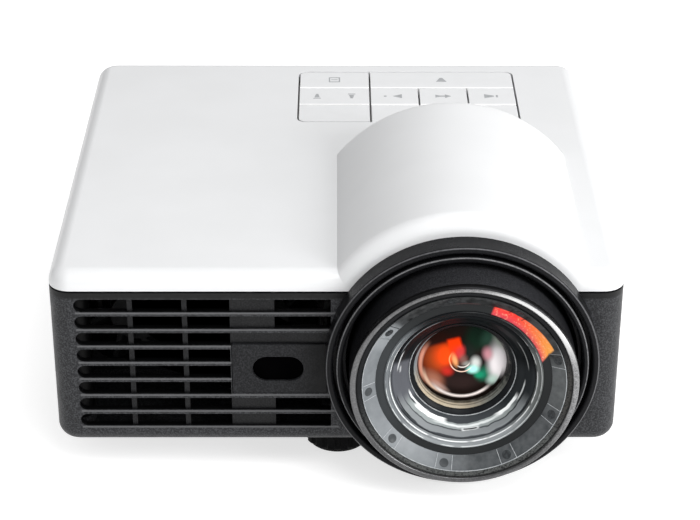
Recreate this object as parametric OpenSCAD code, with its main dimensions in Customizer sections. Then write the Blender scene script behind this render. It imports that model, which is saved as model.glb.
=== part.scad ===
// Pocket short-throw projector: a white cover with a lens hump over a black louvred case.
// X runs across the front, Y runs to the back and Z runs up. The origin is on the table,
// below the middle of the whole object. Sizes are in millimetres.

/* [Case] */
// Width of the case
case_w = 112; // [108:1:130]
// Depth of the case from its front face to its rear face
case_d = 105; // [103:1:125]
// Height of the black lower case up to its top edge
body_h = 34.5; // [33.9:0.1:40]
// Thickness of the case and cover walls
wall = 1.8; // [1.5:0.1:2]
// Radius of the upright corners
corner_r = 4.5; // [4:0.1:6]
// Radius of the lower edge of the case
base_edge_r = 3; // [2.4:0.1:3.4]
// Height of the feet under the case
foot_h = 7.1; // [6.8:0.1:12]

/* [Cover] */
// Height of the white cover from the seam to its flat top
cover_h = 3.7; // [3.6:0.1:5]
// Radius of the upper edge of the cover
cover_edge_r = 3.3; // [2.6:0.1:3.5]
// Open shadow gap between the case and the cover
seam_gap = 0.4; // [0.2:0.1:0.8]
// Thickness of the outer lip of the cover
lip_t = 0.8; // [0.7:0.1:1]
// How far that lip overlaps the tongue of the case
lip_overlap = 1.2; // [0.8:0.1:1.4]
// Radius of the lens hump, measured from the lens axis
hump_r = 30.5; // [29.5:0.1:34]
// Depth of the lens hump
hump_d = 56.9; // [54:0.1:62]
// Radius of the rear edge of the hump
hump_rear_r = 4; // [3:0.1:6]

/* [Louvres] */
// Number of slots, one above the other
louvre_rows = 8; // [6:1:8]
// Distance from the top of one slot to the next
louvre_pitch = 3.73; // [3.6:0.01:3.76]
// Height of one slot
slot_h = 2.95; // [2.4:0.05:3]
// Height of the first slot's top above the case's base
louvre_top = 33.1; // [32.9:0.1:33.3]
// Distance from the side of the case to the slots
louvre_margin = 5; // [4.6:0.1:7]
// Distance from the side of the case to the first rib behind the slots
rib_first = 15.3; // [14:0.1:17]
// Distance from the first rib to the second
rib_spacing = 10.6; // [9:0.1:12]
// Width of a rib
rib_w = 1; // [0.8:0.1:1.6]
// How far the ribs and the blind panels lie behind the front face
recess = 0.7; // [0.4:0.1:1]
// Distance from the lens axis to the left edge of the blind column
column_left = 45.3; // [45.2:0.1:46]
// Distance from the lens axis to the right edge of the blind column
column_right = 36.6; // [35:0.1:38]
// Distance from the lens axis to the right end of the slots
slots_right = 25.6; // [25.3:0.1:26.2]

/* [Sensor window] */
// Width of the sensor plate
plate_w = 18.9; // [18:0.1:19]
// Distance from the lens axis to the right edge of the plate
plate_right = 26.25; // [26:0.1:26.3]
// Width of the sensor window
window_w = 10; // [8:0.1:11]
// Distance from the middle of the plate to the middle of the window
window_off = 0.3; // [0:0.1:1]
// Height of the sensor window
window_h = 5.5; // [4.5:0.1:6.5]
// How far the window lies behind the face of the plate
window_recess = 0.5; // [0.2:0.1:0.8]

/* [Lens] */
// Distance from the right side of the case to the lens axis
lens_from_side = 31.5; // [31:0.1:33]
// Height of the lens axis above the case's base
lens_h = 20.3; // [20.2:0.05:20.5]
// Outer radius of the collar
collar_r = 26.65; // [26.3:0.05:26.9]
// How far the collar stands out in front of the case
collar_out = 4.8; // [4:0.1:6]
// Width of the face of the collar
collar_face = 1.35; // [1.2:0.05:1.5]
// Width of the groove between the collar and the trim ring
groove_w = 0.7; // [0.5:0.05:0.8]
// Width of the face of the trim ring
trim_face = 1.2; // [1:0.05:1.3]
// Depth of the groove and of the trim ring's seat
groove_deep = 3; // [2.4:0.1:3.6]
// Radius of the hole in the front of the case
lens_hole_r = 25; // [24.9:0.05:25.1]
// Outer radius of the front drum of the barrel
drum_r = 22.05; // [21.9:0.05:22.3]
// How far the barrel stands out in front of the collar
barrel_out = 7; // [6:0.1:9]
// Width of the bright rim of the bezel ring
bezel_rim = 0.95; // [0.7:0.05:1.2]
// Radius of the opening of the bezel ring
bezel_open_r = 19.67; // [19.4:0.05:19.8]
// Inner radius of the marked flange of the front lens
flange_in_r = 17; // [16.4:0.1:17.4]
// Radius of the clear bowl of the front lens
bowl_r = 15.4; // [15.3:0.1:15.8]
// Radius of the inner lens
inner_lens_r = 8.5; // [8:0.1:8.8]
// Radius of the rear tube of the barrel
tube_r = 16; // [15.8:0.1:16.2]
// Radius of the bore in which the focus cell slides
cell_bore_r = 14.1; // [13.8:0.1:14.2]

/* [Focus drive] */
// Radius of the lead screw
lead_r = 1.5; // [1.3:0.1:1.7]
// Height of the lead screw above the lens axis
lead_h = 21.5; // [21.3:0.1:21.8]
// Radius of the guide rod
rod_r = 0.8; // [0.6:0.1:0.9]
// Height of the guide rod above the lens axis
rod_h = 25.2; // [25:0.1:25.4]
// Travel of the focus cell each way
focus_travel = 3; // [1:0.1:3.2]
// Width of the arm on the focus cell
arm_w = 6; // [5.4:0.1:6.4]
// Radius of the focus motor
motor_r = 4.5; // [4:0.1:4.8]
// Length of the focus motor
motor_len = 9; // [7:0.5:10]

/* [Light engine] */
// Height of the engine housing
engine_h = 20; // [19.6:0.1:20.2]
// Depth of the engine housing
engine_d = 20; // [19:0.1:20.4]
// Wall of the engine housing
engine_wall = 2; // [1.6:0.1:2.4]
// Distance between the light sources
led_pitch = 14.5; // [13.4:0.1:15]
// Side of the prism
prism_a = 15; // [13:0.1:15.6]
// Thickness of the circuit boards
board_t = 1.2; // [1:0.1:1.6]

/* [Cooling] */
// Side of each square fan
fan_a = 25; // [24:0.5:26]
// Thickness of the fans
fan_t = 10; // [8:0.5:10.5]
// Distance from the front face of the case to the fans
fan_s = 20; // [19.5:0.1:20.4]
// Number of fan blades
fan_blades = 7; // [5:1:9]
// Number of heat sink fins
sink_fins = 17; // [9:1:21]
// Thickness of a heat sink fin
fin_t = 1; // [0.8:0.1:1.2]

/* [Keypad] */
// Width of the key block
keys_w = 49.9; // [48:0.1:52]
// Width of its left column of keys
left_keys_w = 16.45; // [15.6:0.05:17.4]
// Depth of one row of keys
key_row = 9.43; // [9:0.01:9.6]
// Distance from the right side of the case to the keys
keys_from_side = 14.9; // [14:0.1:16]
// Distance from the rear face of the case to the keys
keys_from_rear = 6.3; // [6:0.1:8]
// Corner radius of the key block
keys_corner_r = 2; // [1:0.1:3]
// Gap around each key
key_gap = 0.4; // [0.3:0.05:0.6]
// Thickness of a key cap
cap_t = 2.2; // [2:0.1:2.4]
// Travel of a pressed key
key_travel = 0.5; // [0.2:0.05:0.6]
// Tilt of the focus rocker each way, in degrees
rocker_tilt = 2.5; // [1:0.1:3]

/* [Rear panel] */
// Distance from each side of the case to the connector panel
panel_margin = 11; // [10:0.5:12]
// Height of the lower edge of the panel above the case's base
panel_low = 3; // [3:0.1:3.2]
// Distance from the top of the panel to the top edge of the case
panel_top_gap = 3; // [2.8:0.1:4]

/* [Speaker] */
// Radius of the speaker
speaker_r = 11; // [9:0.1:11.4]
// Depth of the speaker
speaker_t = 7; // [6:0.1:9]

/* [Feet] */
// Radius of the scalloped wheel of the front foot
wheel_r = 7; // [6.4:0.1:7.2]
// Number of scallops on the wheel
wheel_scallops = 16; // [12:1:20]
// Distance from the front face of the case to the foot
foot_s = 13.5; // [13:0.1:13.8]
// Radius of the threaded stem of the foot
stem_r = 2; // [1.6:0.1:2.2]
// How far the front foot screws out
foot_travel = 6; // [2:0.5:6]
// Radius of the rubber pads
pad_r = 4.6; // [4:0.1:5]
// Height of the rubber pads
pad_t = 1; // [0.8:0.1:1.4]
// Gap between the wheel of the front foot and the chin under the lens
foot_gap = 1.5; // [0.4:0.1:2]
// Radius of the bore of the tripod insert
tripod_bore_r = 2.6; // [2.5:0.05:3.2]

/* [Clearances] */
// Clearance around sliding and turning pins, on the radius
run_gap = 0.07; // [0.05:0.01:0.09]
// Clearance between parts that are fitted and stay put
fit_gap = 0.1; // [0.08:0.01:0.15]

/* [Hidden] */
$fn = 72;

// Places: x is across, s is the distance behind the front face, h is above the case's base
overall_d = case_d + collar_out + barrel_out;
front_y = -overall_d / 2 + collar_out + barrel_out;
lens_x = case_w / 2 - lens_from_side;
side_x = case_w / 2 - wall;
seam_h = body_h + seam_gap;
top_h = seam_h + cover_h;
ceiling_h = top_h - wall;
floor_mid = wall / 2;
bevel = 0.3;
press_gap = 0.02;

// Inner radii that stay positive under a thick wall
cover_inner_r = max(cover_edge_r - wall, 0.3);
base_inner_r = max(base_edge_r - wall, 0.3);
corner_inner_r = max(corner_r - wall, base_inner_r + 0.1, cover_inner_r + 0.1);

// Louvres, the plate over the middle three of them and the sensor behind its window
louvre_left = louvre_margin - case_w / 2;
louvre_floor = louvre_top - (louvre_rows - 1) * louvre_pitch - slot_h;
column_x0 = lens_x - column_left;
column_x1 = lens_x - column_right;
side_vent_rows = [1:5];
left_vent_s = [case_d - 33, case_d - 9];
right_vent_s = [case_d - 59, case_d - 21];
plate_x0 = lens_x - plate_right - plate_w;
plate_x1 = lens_x - plate_right;
plate_low = louvre_top - 5 * louvre_pitch - slot_h + 0.25;
plate_high = louvre_top - 2 * louvre_pitch - slot_h + 0.35;
plate_lip = 0.6;
lip_back = wall + 1;
window_x = (plate_x0 + plate_x1) / 2 - window_off;
window_mid_h = (plate_low + plate_high) / 2;
window_lip = 1;
window_back = lip_back + 0.8;
receiver_d = 3;

// Lens collar and ring radii, from the outside in
groove_out_r = collar_r - collar_face;
trim_r = groove_out_r - groove_w;
trim_in_r = trim_r - trim_face;
spigot_r = lens_hole_r - fit_gap;
spigot_back = wall + 1.2;
seat_r = spigot_r - 1.3;
drum_gap = 0.6;
chin_d = 18;

// Stations along the lens, behind the front face of the case
barrel_front = -(collar_out + barrel_out);
bezel_t = 1.5;
bezel_step = 0.4;
bezel_spigot = 1.3;
flange_s = barrel_front + 2.7;
lens_back_s = barrel_front + 4.8;
bowl_sag = 2.3;
bowl_back_sag = 1.8;
drum_back = 12;
drum_wall = 1.75;
drum_bore_r = drum_r - drum_wall;
drum_floor = 2;
tube_wall = 3;
tube_back = 44;
flange_t = 3;
flange_half_w = 19;
flange_half_h = 14;
flange_fix_x = [-16.8, 16.8];
flange_fix_h = [-8.2, 8.2];
baffle_steps = 6;
baffle_step_s = 0.77;
inner_seat_s = lens_back_s + baffle_steps * baffle_step_s;
inner_seat_d = 2;
inner_lens_sag = 2.4;

// Focus drive
bracket_s = drum_back + 1.5;
bracket_w = 10;
bracket_bar = 1.6;
ear_t = 2;
ear_back = 37;
bracket_back = ear_back + ear_t;
cell_s = 20;
cell_len = 10;
cell_open_r = 11;
arm_s = 22;
arm_d = 6;
arm_slot_end = 2;
arm_top = rod_h + rod_r + 1;
journal_r = 0.8;

// Light engine
engine_s = tube_back + flange_t;
engine_back = engine_s + engine_d;
engine_mid_s = engine_s + engine_d / 2;
engine_low = lens_h - engine_h / 2;
chip_half_w = 6.8;
chip_half_h = 4.3;
chip_gap = 0.2;
led_half = 5.5;
led_cone_r = 3.8;
led_cone_d = 1.5;
exit_r = 8;
plate_len = 11.4;
plate_t = 1;
relay_t = 4;
relay_r = 20;
chip_board_half_w = 14;
chip_board_half_h = 9.5;
chip_sink_half_w = 9;
chip_sink_half_h = 7;
chip_fins = 7;
chip_fin_d = 6;
chip_sink_base = 1.5;

// Fans and heat sink
fans_x = -side_x + 0.8;
fan_mid_h = 17.7;
fans_h = fan_mid_h - fan_a / 2;
fan_step = fan_a + 0.6;
fan_rim = 0.8;
fan_pin_r = 0.9;
hub_r = 5.5;
spoke_a = 1.6;
spoke_t = 1.5;
blade_t = 0.8;
blade_angle = 38;
rotor_front = fan_s + 0.6;
rotor_len = fan_t - 2.6;
sink_s = fan_s + fan_t + 1;
sink_to_flange = 8.3;
sink_w = lens_x - flange_half_w - sink_to_flange - fans_x;
sink_back = engine_s - 2;
sink_base = 3;
cradle_in = 2;
engine_left = speaker_t - side_x + 0.4;
engine_right = lens_x + 19.5;
led_x = engine_left + led_half + 1;

// Main board and its neighbours
board_low = 3.4;
board_s = engine_back + 0.5;
board_back = case_d - wall - 1.4;
board_top = board_low + board_t;
board_half_w = case_w / 2 - 8.5;
board_fix_x = [4.5 - board_half_w, board_half_w - 4.5];
board_fix_s = [board_s + 3, case_d - 18];
board_screw_r = 0.85;
board_screw_low = 1.2;
board_head_t = 1.2;
// Packages on the board: x from, distance from the board's front edge, width, depth, height
packages = [[-20, 2, 14, 11, 1.4], [0, 3, 9, 8, 1.4], [14, 2, 12, 7, 2.8]];

// Ports on the rear panel, from left to right: width, height
panel_x0 = panel_margin - case_w / 2;
panel_x1 = case_w / 2 - panel_margin;
port_sizes = [[11.4, 1.8], [12, 4.4], [15, 5.8], [13.4, 6], [7, 7], [9, 11]];
port_gap = (panel_x1 - panel_x0 - port_sum(len(port_sizes))) / (len(port_sizes) + 1);
card_port = port(0);
universal_port = port(1);
hdmi_port = port(2);
usb_port = port(3);
audio_port = port(4);
power_port = port(5);
square_ports = [card_port, universal_port, hdmi_port, usb_port, power_port];
port_back = case_d - 0.6;
port_len = 12;
port_shell = 0.5;
power_bore_r = 2.85;
power_pin_r = 0.85;
audio_bore_r = 1.8;
audio_bore_len = 11;
card_w = 10.6;
card_t = 0.8;
panel_high = body_h - panel_top_gap;
panel_lip = 1.2;
panel_lip_s = case_d - wall - 1;
rear_vent_rows = [1:4];
rear_vent_bar = 0.6;
remote_x = panel_x0 + 9;
rear_vent_x = [remote_x + 12, panel_x1 - 4];
remote_h = 19;
remote_r = 3.2;
remote_lip = 1;

// Speaker
speaker_s = case_d - 21;
speaker_h = fan_mid_h;
speaker_wall = 1.2;
speaker_open = speaker_t - speaker_wall;
coil_r = 3;
coil_s = 3.4;
speaker_foot = [1.4, 5];
speaker_foot_half = 4;

// Keypad levels and edges
keys_x1 = case_w / 2 - keys_from_side;
keys_x0 = keys_x1 - keys_w;
keys_mid = keys_x0 + left_keys_w;
keys_s1 = case_d - keys_from_rear;
keys_s0 = keys_s1 - 3 * key_row;
cap_low = top_h - cap_t;
rocker_drop = left_keys_w / 2 * sin(rocker_tilt);
guide_top = cap_low - max(key_travel, rocker_drop) - 0.2;
guide_t = 1.5;
guide_low = guide_top - guide_t;
guide_rim = 2.2;
into_part = 0.5;
key_board_top = guide_low - 2.6;
key_board_rim = 2;
leg_r = 1.8;
switch_h = 0.5;
switch_r = 1.6;
switch_gap = 0.15;
plunger_low = key_board_top + switch_h + key_travel + switch_gap;
side_post_up = 0.4;
post_r = 1.2;

// Focus rocker
rocker_x = (keys_x0 + keys_mid) / 2;
rocker_s = keys_s0 + 1.5 * key_row;
rocker_pin_r = 0.6;
rocker_pin_h = guide_low - 0.9;
rocker_pin_half = 3.8;
rocker_block = 1.8;
rocker_block_half_d = 2;
rocker_eye = 1.4;
rocker_arm = 4.6;
rocker_post_r = 1;
rocker_room = 0.4;
rocker_low = key_board_top + switch_h + switch_gap
    + (rocker_arm + rocker_post_r) * sin(rocker_tilt);

// Keys: x from, x to, row counted from the front
right_third = (keys_x1 - keys_mid) / 3;
menu_spot = [keys_x0, keys_mid, 2];
rocker_spot = [keys_x0, keys_mid, 1];
power_spot = [keys_x0, keys_mid, 0];
up_spot = [keys_mid, keys_x1, 2];
left_spot = [keys_mid, keys_mid + right_third, 1];
enter_spot = [keys_mid + right_third, keys_x1 - right_third, 1];
right_spot = [keys_x1 - right_third, keys_x1, 1];
down_spot = [keys_mid, keys_x1, 0];
press_spots = [menu_spot, power_spot, up_spot, left_spot, enter_spot, right_spot, down_spot];

// Screws and posts
boss_r = 2.6;
boss_x = side_x - boss_r - 0.2;
boss_front = 7;
boss_back = case_d - 7;
boss_split = louvre_top + 0.2;
boss_wall = 2;
prop_r = 2.5;
prop_in = 3.5;
screw_r = 1;
screw_clear = 0.15;
screw_bite = 0.05;
screw_reach = 3;
screw_room = 0.4;
head_r = 1.9;
head_t = 1.4;
head_clear = 0.2;
head_seat = 3;

// Feet and tripod insert
wheel_low = pad_t - foot_h;
wheel_top = -1.2;
foot_boss_top = foot_travel + 6;
chin_half = sqrt(pow(collar_r, 2) - pow(lens_h - wheel_top, 2));
foot_x = lens_x - chin_half - wheel_r - foot_gap;
foot_pad_r = wheel_r - 0.9;
swivel_r = 1.5;
swivel_len = 3;
scallop_r = 0.75;
scallop_out = 0.35;
rear_foot_x = case_w / 2 - 12;
rear_foot_s = case_d - 13;
rear_pad_top = pad_t + 0.4 - foot_h;
pad_rim = 0.6;
tripod_to_lens = 20.5;
tripod_x = lens_x - tripod_to_lens;
tripod_s = 37;
tripod_r = 4;
tripod_len = 8;
tripod_roof = 1;

module at(x, s, h) { translate([x, front_y + s, foot_h + h]) children(); }

module on_lens(s = 0) { at(lens_x, s, lens_h) rotate([-90, 0, 0]) children(); }

module block(x0, x1, s0, s1, h0, h1) { at(x0, s0, h0) cube([x1 - x0, s1 - s0, h1 - h0]); }

module post(x, s, h0, h1, r) { at(x, s, h0) cylinder(r = r, h = h1 - h0); }

// A bar along Y, from s0 to s1
module rod_y(x, h, s0, s1, r) { at(x, s0, h) rotate([-90, 0, 0]) cylinder(r = r, h = s1 - s0); }

// A bar along X, from x0 to x1
module rod_x(s, h, x0, x1, r) { at(x0, s, h) rotate([0, 90, 0]) cylinder(r = r, h = x1 - x0); }

// Section of a slab's rim, with its upper outer corner rounded
module rim_section(half, h, r) {
    difference() {
        square([half, h]);
        translate([half - r, h - r]) corner_waste(r);
    }
}

// A flat slab with upright corners of radius rc and an upper edge of radius re
module rounded_slab(w, d, h, rc, re) {
    for (turn = [0:3]) {
        across = (turn % 2 == 0 ? w : d) / 2 - rc;
        along = (turn % 2 == 0 ? d : w) / 2 - rc;
        rotate([0, 0, 90 * turn]) translate([across, along, 0]) {
            rotate_extrude(angle = 90) rim_section(rc, h, re);
            rotate([90, 0, 0]) linear_extrude(2 * along) rim_section(rc, h, re);
        }
    }
    translate([rc - w / 2, rc - d / 2, 0]) cube([w - 2 * rc, d - 2 * rc, h]);
}

module rounded_rect(w, d, r) {
    square([w, d - 2 * r], center = true);
    square([w - 2 * r, d], center = true);
    for (x = [-1, 1], y = [-1, 1])
        translate([x * (w / 2 - r), y * (d / 2 - r)]) circle(r);
}

// A pill standing upright, seen from the front, from s0 to s1
module pill(x, h, w, t, s0, s1) {
    at(x, s1, h) rotate([90, 0, 0]) linear_extrude(s1 - s0) {
        square([w - t, t], center = true);
        for (side = [-1, 1]) translate([side * (w - t) / 2, 0]) circle(t / 2);
    }
}

// Section of a drum: radius along x and length along y, both rims rounded
module drum_section(r, len, front_r, rear_r) {
    difference() {
        square([r, len]);
        translate([r - front_r, front_r]) mirror([0, 1]) corner_waste(front_r);
        translate([r - rear_r, len - rear_r]) corner_waste(rear_r);
    }
}

module corner_waste(r) {
    difference() {
        square([r + 1, r + 1]);
        circle(r);
    }
}

module bosses() {
    for (x = [-boss_x, boss_x], s = [boss_front, boss_back]) at(x, s, 0) children();
}

module cover_solid(inset, edge_r, round_r, front_r, rear_r) {
    at(0, case_d / 2, seam_h)
        rounded_slab(case_w - 2 * inset, case_d - 2 * inset, cover_h - inset, round_r, edge_r);
    intersection() {
        on_lens(inset) rotate_extrude()
            drum_section(hump_r - inset, hump_d - 2 * inset, front_r, rear_r);
        block(lens_x - hump_r, lens_x + hump_r, 0, hump_d, seam_h, lens_h + hump_r);
    }
}

module keys_window(grow, h0, h1) {
    at((keys_x0 + keys_x1) / 2, (keys_s0 + keys_s1) / 2, h0) linear_extrude(h1 - h0)
        rounded_rect(keys_w + 2 * grow, 3 * key_row + 2 * grow, keys_corner_r + grow);
}

module top_cover() {
    color("whitesmoke") {
        difference() {
            cover_solid(0, cover_edge_r, corner_r, cover_edge_r, hump_rear_r);
            cover_solid(wall, cover_inner_r, corner_inner_r, cover_inner_r, hump_rear_r - wall);
            at(0, case_d / 2, seam_h - 1) linear_extrude(1 + lip_overlap)
                rounded_rect(case_w - 2 * lip_t, case_d - 2 * lip_t, corner_r - lip_t);
            on_lens(-1) cylinder(r = lens_hole_r, h = wall + 2);
            keys_window(0, cap_low, top_h + 1);
        }
        difference() {
            bosses() translate([0, 0, boss_split])
                cylinder(r = boss_r, h = top_h - wall / 2 - boss_split);
            bosses() translate([0, 0, boss_split - 1])
                cylinder(r = screw_r + screw_bite, h = 1 + screw_reach + screw_room);
        }
    }
}

function slot_top(row) = louvre_top - row * louvre_pitch;
function is_open(row) = row < 2 || row > 5;

module louvre_cuts() {
    for (row = [0:louvre_rows - 1]) {
        high = slot_top(row);
        low = high - slot_h;
        rod_y(louvre_left + slot_h / 2, (high + low) / 2, -1, wall + 1, slot_h / 2);
        block(louvre_left + slot_h / 2, column_x0, -1, wall + 1, low, high);
        if (is_open(row)) {
            block(column_x0, column_x1, -1, recess, low, high);
            block(column_x1, lens_x - slots_right, -1, wall + 1, low, high);
        }
        if (row == 2) block(column_x0, lens_x - lens_hole_r + 2, -1, recess, low, high);
    }
}

module side_vent(x, span) {
    for (row = side_vent_rows)
        block(x - wall, x + wall, span[0], span[1], slot_top(row) - slot_h, slot_top(row));
}

module case_floor_posts() {
    // posts for the main board
    for (s = board_fix_s) for (x = board_fix_x) post(x, s, floor_mid, board_low, prop_r);
    // posts for the light engine
    for (x = [engine_left + prop_in, engine_right - prop_in],
            s = [engine_s + prop_in, engine_back - prop_in])
        post(x, s, floor_mid, engine_low, prop_r);
    // posts above the rear feet
    for (x = [-rear_foot_x, rear_foot_x])
        post(x, rear_foot_s, rear_pad_top, floor_mid, pad_r + pad_rim);
    // cradle for the fans and the heat sink
    block(fans_x + cradle_in, fans_x + sink_w - cradle_in, fan_s + cradle_in,
        sink_back - cradle_in, floor_mid, fans_h);
    bosses() cylinder(r = boss_r, h = boss_split);
    post(foot_x, foot_s, floor_mid, foot_boss_top, stem_r + boss_wall);
    post(tripod_x, tripod_s, floor_mid, tripod_len + tripod_roof, tripod_r + boss_wall);
}

// The closed case with its tongue for the cover and its chin behind the collar
module case_outside() {
    tongue_in = lip_t + fit_gap;
    at(0, case_d / 2, body_h) mirror([0, 0, 1])
        rounded_slab(case_w, case_d, body_h, corner_r, base_edge_r);
    at(0, case_d / 2, wall) linear_extrude(seam_h + lip_overlap - wall)
        rounded_rect(case_w - 2 * tongue_in, case_d - 2 * tongue_in, corner_r - tongue_in);
    intersection() {
        on_lens() cylinder(r = collar_r, h = chin_d);
        block(lens_x - collar_r, lens_x + collar_r, 0, chin_d, lens_h - collar_r, wall);
    }
}

module lower_case() {
    inside_h = seam_h + lip_overlap + 1;
    color("#1d1e20") difference() {
        union() {
            difference() {
                case_outside();
                at(0, case_d / 2, inside_h) mirror([0, 0, 1])
                    rounded_slab(case_w - 2 * wall, case_d - 2 * wall, inside_h - wall,
                        corner_inner_r, base_inner_r);
                on_lens(-1) cylinder(r = lens_hole_r, h = chin_d - wall + 1);
                louvre_cuts();
                side_vent(-case_w / 2, left_vent_s);
                side_vent(case_w / 2, right_vent_s);
                block(panel_x0, panel_x1, panel_lip_s, case_d + 1, panel_low,
                    panel_high);
            }
            // upright ribs behind the slots
            for (n = [0, 1]) {
                x = -case_w / 2 + rib_first + n * rib_spacing;
                block(x, x + rib_w, recess, wall, louvre_floor - 0.4, louvre_top + 0.4);
            }
            case_floor_posts();
        }
        block(plate_x0, plate_x1, -1, wall + 1, plate_low, plate_high);
        bosses() translate([0, 0, -1]) {
            cylinder(r = screw_r + screw_clear, h = boss_split + 2);
            cylinder(r = head_r + head_clear, h = head_seat + 1);
        }
        for (s = board_fix_s) for (x = board_fix_x)
            post(x, s, board_screw_low - 0.4, board_low + 1, board_screw_r + screw_bite);
        post(foot_x, foot_s, -1, foot_boss_top + 1, stem_r + run_gap);
        post(tripod_x, tripod_s, -1, tripod_len, tripod_r);
    }
}

// Widths of the first n ports together
function port_sum(n) = n == 0 ? 0 : port_sum(n - 1) + port_sizes[n - 1][0];

// Middle x, width and height of port n
function port(n) = [
    panel_x0 + (n + 1) * port_gap + port_sum(n) + port_sizes[n][0] / 2,
    port_sizes[n][0],
    port_sizes[n][1]];

module port_hole(p) {
    half = p[1] / 2 + fit_gap;
    block(p[0] - half, p[0] + half, panel_lip_s - 1, case_d + 1, board_top - fit_gap,
        board_top + p[2] + fit_gap);
}

module rear_panel() {
    g = fit_gap;
    cut_s = panel_lip_s - 1;
    color("#1d1e20") difference() {
        union() {
            block(panel_x0 + g, panel_x1 - g, case_d - wall, case_d, panel_low + g,
                panel_high - g);
            block(panel_x0 - panel_lip, panel_x1 + panel_lip, panel_lip_s, case_d - wall,
                panel_low + g, panel_high + panel_lip);
        }
        for (p = square_ports) port_hole(p);
        rod_y(audio_port[0], board_top + audio_port[2] / 2, cut_s, case_d + 1,
            audio_port[2] / 2 + g);
        rod_y(remote_x, remote_h, cut_s, case_d + 1, remote_r + g);
        for (row = rear_vent_rows)
            block(rear_vent_x[0], rear_vent_x[1], cut_s, case_d + 1,
                slot_top(row) - slot_h + rear_vent_bar, slot_top(row));
    }
}

module sensor_plate() {
    g = fit_gap;
    color("#222326") difference() {
        union() {
            block(plate_x0 + g, plate_x1 - g, 0, wall, plate_low + g, plate_high - g);
            block(plate_x0 - plate_lip, plate_x1, wall, lip_back, plate_low - plate_lip,
                plate_high + plate_lip);
        }
        pill(window_x, window_mid_h, window_w, window_h, -1, lip_back + 1);
    }
}

module sensor_window() {
    g = fit_gap;
    half_w = window_w / 2 + window_lip;
    half_h = window_h / 2 + window_lip;
    color("#0a0a0c") {
        pill(window_x, window_mid_h, window_w - 2 * g, window_h - 2 * g, window_recess,
            lip_back);
        block(window_x - half_w, window_x + half_w, lip_back, window_back,
            window_mid_h - half_h, window_mid_h + half_h);
    }
}

// Two light receivers on a small board
module sensor_board() {
    half_w = window_w / 2 + window_lip + 0.5;
    half_h = window_h / 2 + 2.25;
    board_front = window_back + receiver_d;
    receiver_w = 3.6;
    receiver_h = 4;
    color("darkgreen") {
        block(window_x - half_w, window_x + half_w, board_front, board_front + board_t,
            window_mid_h - half_h, window_mid_h + half_h);
        for (side = [-1, 1]) {
            x = window_x + side * (receiver_w / 2 + 1.2);
            block(x - receiver_w / 2, x + receiver_w / 2, window_back, board_front,
                window_mid_h - receiver_h / 2, window_mid_h + receiver_h / 2);
        }
    }
}

module lens_collar() {
    color("#242527") on_lens() rotate_extrude() polygon([
        [collar_r - bevel, -collar_out], [collar_r, bevel - collar_out], [collar_r, 0],
        [spigot_r, 0], [spigot_r, spigot_back], [seat_r, spigot_back],
        [seat_r, groove_deep - collar_out], [groove_out_r, groove_deep - collar_out],
        [groove_out_r, bevel - collar_out], [groove_out_r + bevel, -collar_out]]);
}

module trim_ring() {
    seat = groove_deep - collar_out;
    neck_r = seat_r - fit_gap;
    color("#1b1c1e") on_lens() rotate_extrude() polygon([
        [trim_in_r + bevel, -collar_out], [trim_r - bevel, -collar_out],
        [trim_r, bevel - collar_out], [trim_r, seat], [neck_r, seat], [neck_r, wall],
        [drum_r + drum_gap, wall], [drum_r + drum_gap, seat], [trim_in_r, seat],
        [trim_in_r, bevel - collar_out]]);
}

module lens_barrel() {
    front = barrel_front + bezel_t;
    slot_half = arm_w / 2 + 0.2;
    pad_half = bracket_w / 2 + 1.5;
    bore_r = tube_r - tube_wall;
    floor_s = drum_back - drum_floor;
    color("#18191b") difference() {
        union() {
            on_lens() rotate_extrude() polygon([
                [drum_r, front], [drum_r, drum_back], [tube_r, drum_back],
                [tube_r, tube_back], [bore_r, tube_back], [bore_r, floor_s],
                [drum_bore_r, floor_s], [drum_bore_r, front]]);
            // pad for the focus bracket
            block(lens_x - pad_half, lens_x + pad_half, bracket_s, bracket_back,
                lens_h + bore_r, lens_h + tube_r);
            // mounting flange
            block(lens_x - flange_half_w, lens_x + flange_half_w, tube_back, engine_s,
                lens_h - flange_half_h, lens_h + flange_half_h);
        }
        on_lens(floor_s - 1) cylinder(r = cell_bore_r, h = engine_s - floor_s + 2);
        block(lens_x - slot_half, lens_x + slot_half, arm_s - focus_travel - arm_slot_end,
            arm_s + arm_d + focus_travel + arm_slot_end, lens_h + cell_bore_r / 2,
            lens_h + tube_r + 1);
        for (x = flange_fix_x, h = flange_fix_h)
            rod_y(lens_x + x, lens_h + h, tube_back - 1, engine_s + 1, screw_r + screw_clear);
    }
}

module bezel_ring() {
    spigot = drum_bore_r - fit_gap;
    rim_in_r = drum_r - bezel_rim;
    back = barrel_front + bezel_t;
    step = barrel_front + bezel_step;
    color("dimgray") on_lens() rotate_extrude() polygon([
        [drum_r - bevel, barrel_front], [drum_r, barrel_front + bevel], [drum_r, back],
        [spigot, back], [spigot, back + bezel_spigot], [bezel_open_r, back + bezel_spigot],
        [bezel_open_r, step], [rim_in_r, step], [rim_in_r, barrel_front]]);
}

// A shallow dish from the axis to radius r: sag at the rim, n steps
function dish(r, s0, sag, n) = [for (i = [0:n]) [r * i / n, s0 + sag * pow(i / n, 2)]];
function backwards(list) = [for (i = [len(list) - 1:-1:0]) list[i]];

module front_lens() {
    front = barrel_front + bezel_step;
    rim_r = bezel_open_r - press_gap;
    bowl_t = 0.4;
    outer = concat(dish(bowl_r, flange_s + bowl_sag, -bowl_sag, 10),
        [[flange_in_r, flange_s], [rim_r, front], [rim_r, lens_back_s]]);
    inner = dish(bowl_r - bowl_t, lens_back_s + bowl_back_sag, -bowl_back_sag, 10);
    color("lightgray", 0.5) on_lens() rotate_extrude() polygon(concat(outer, backwards(inner)));
}

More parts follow.
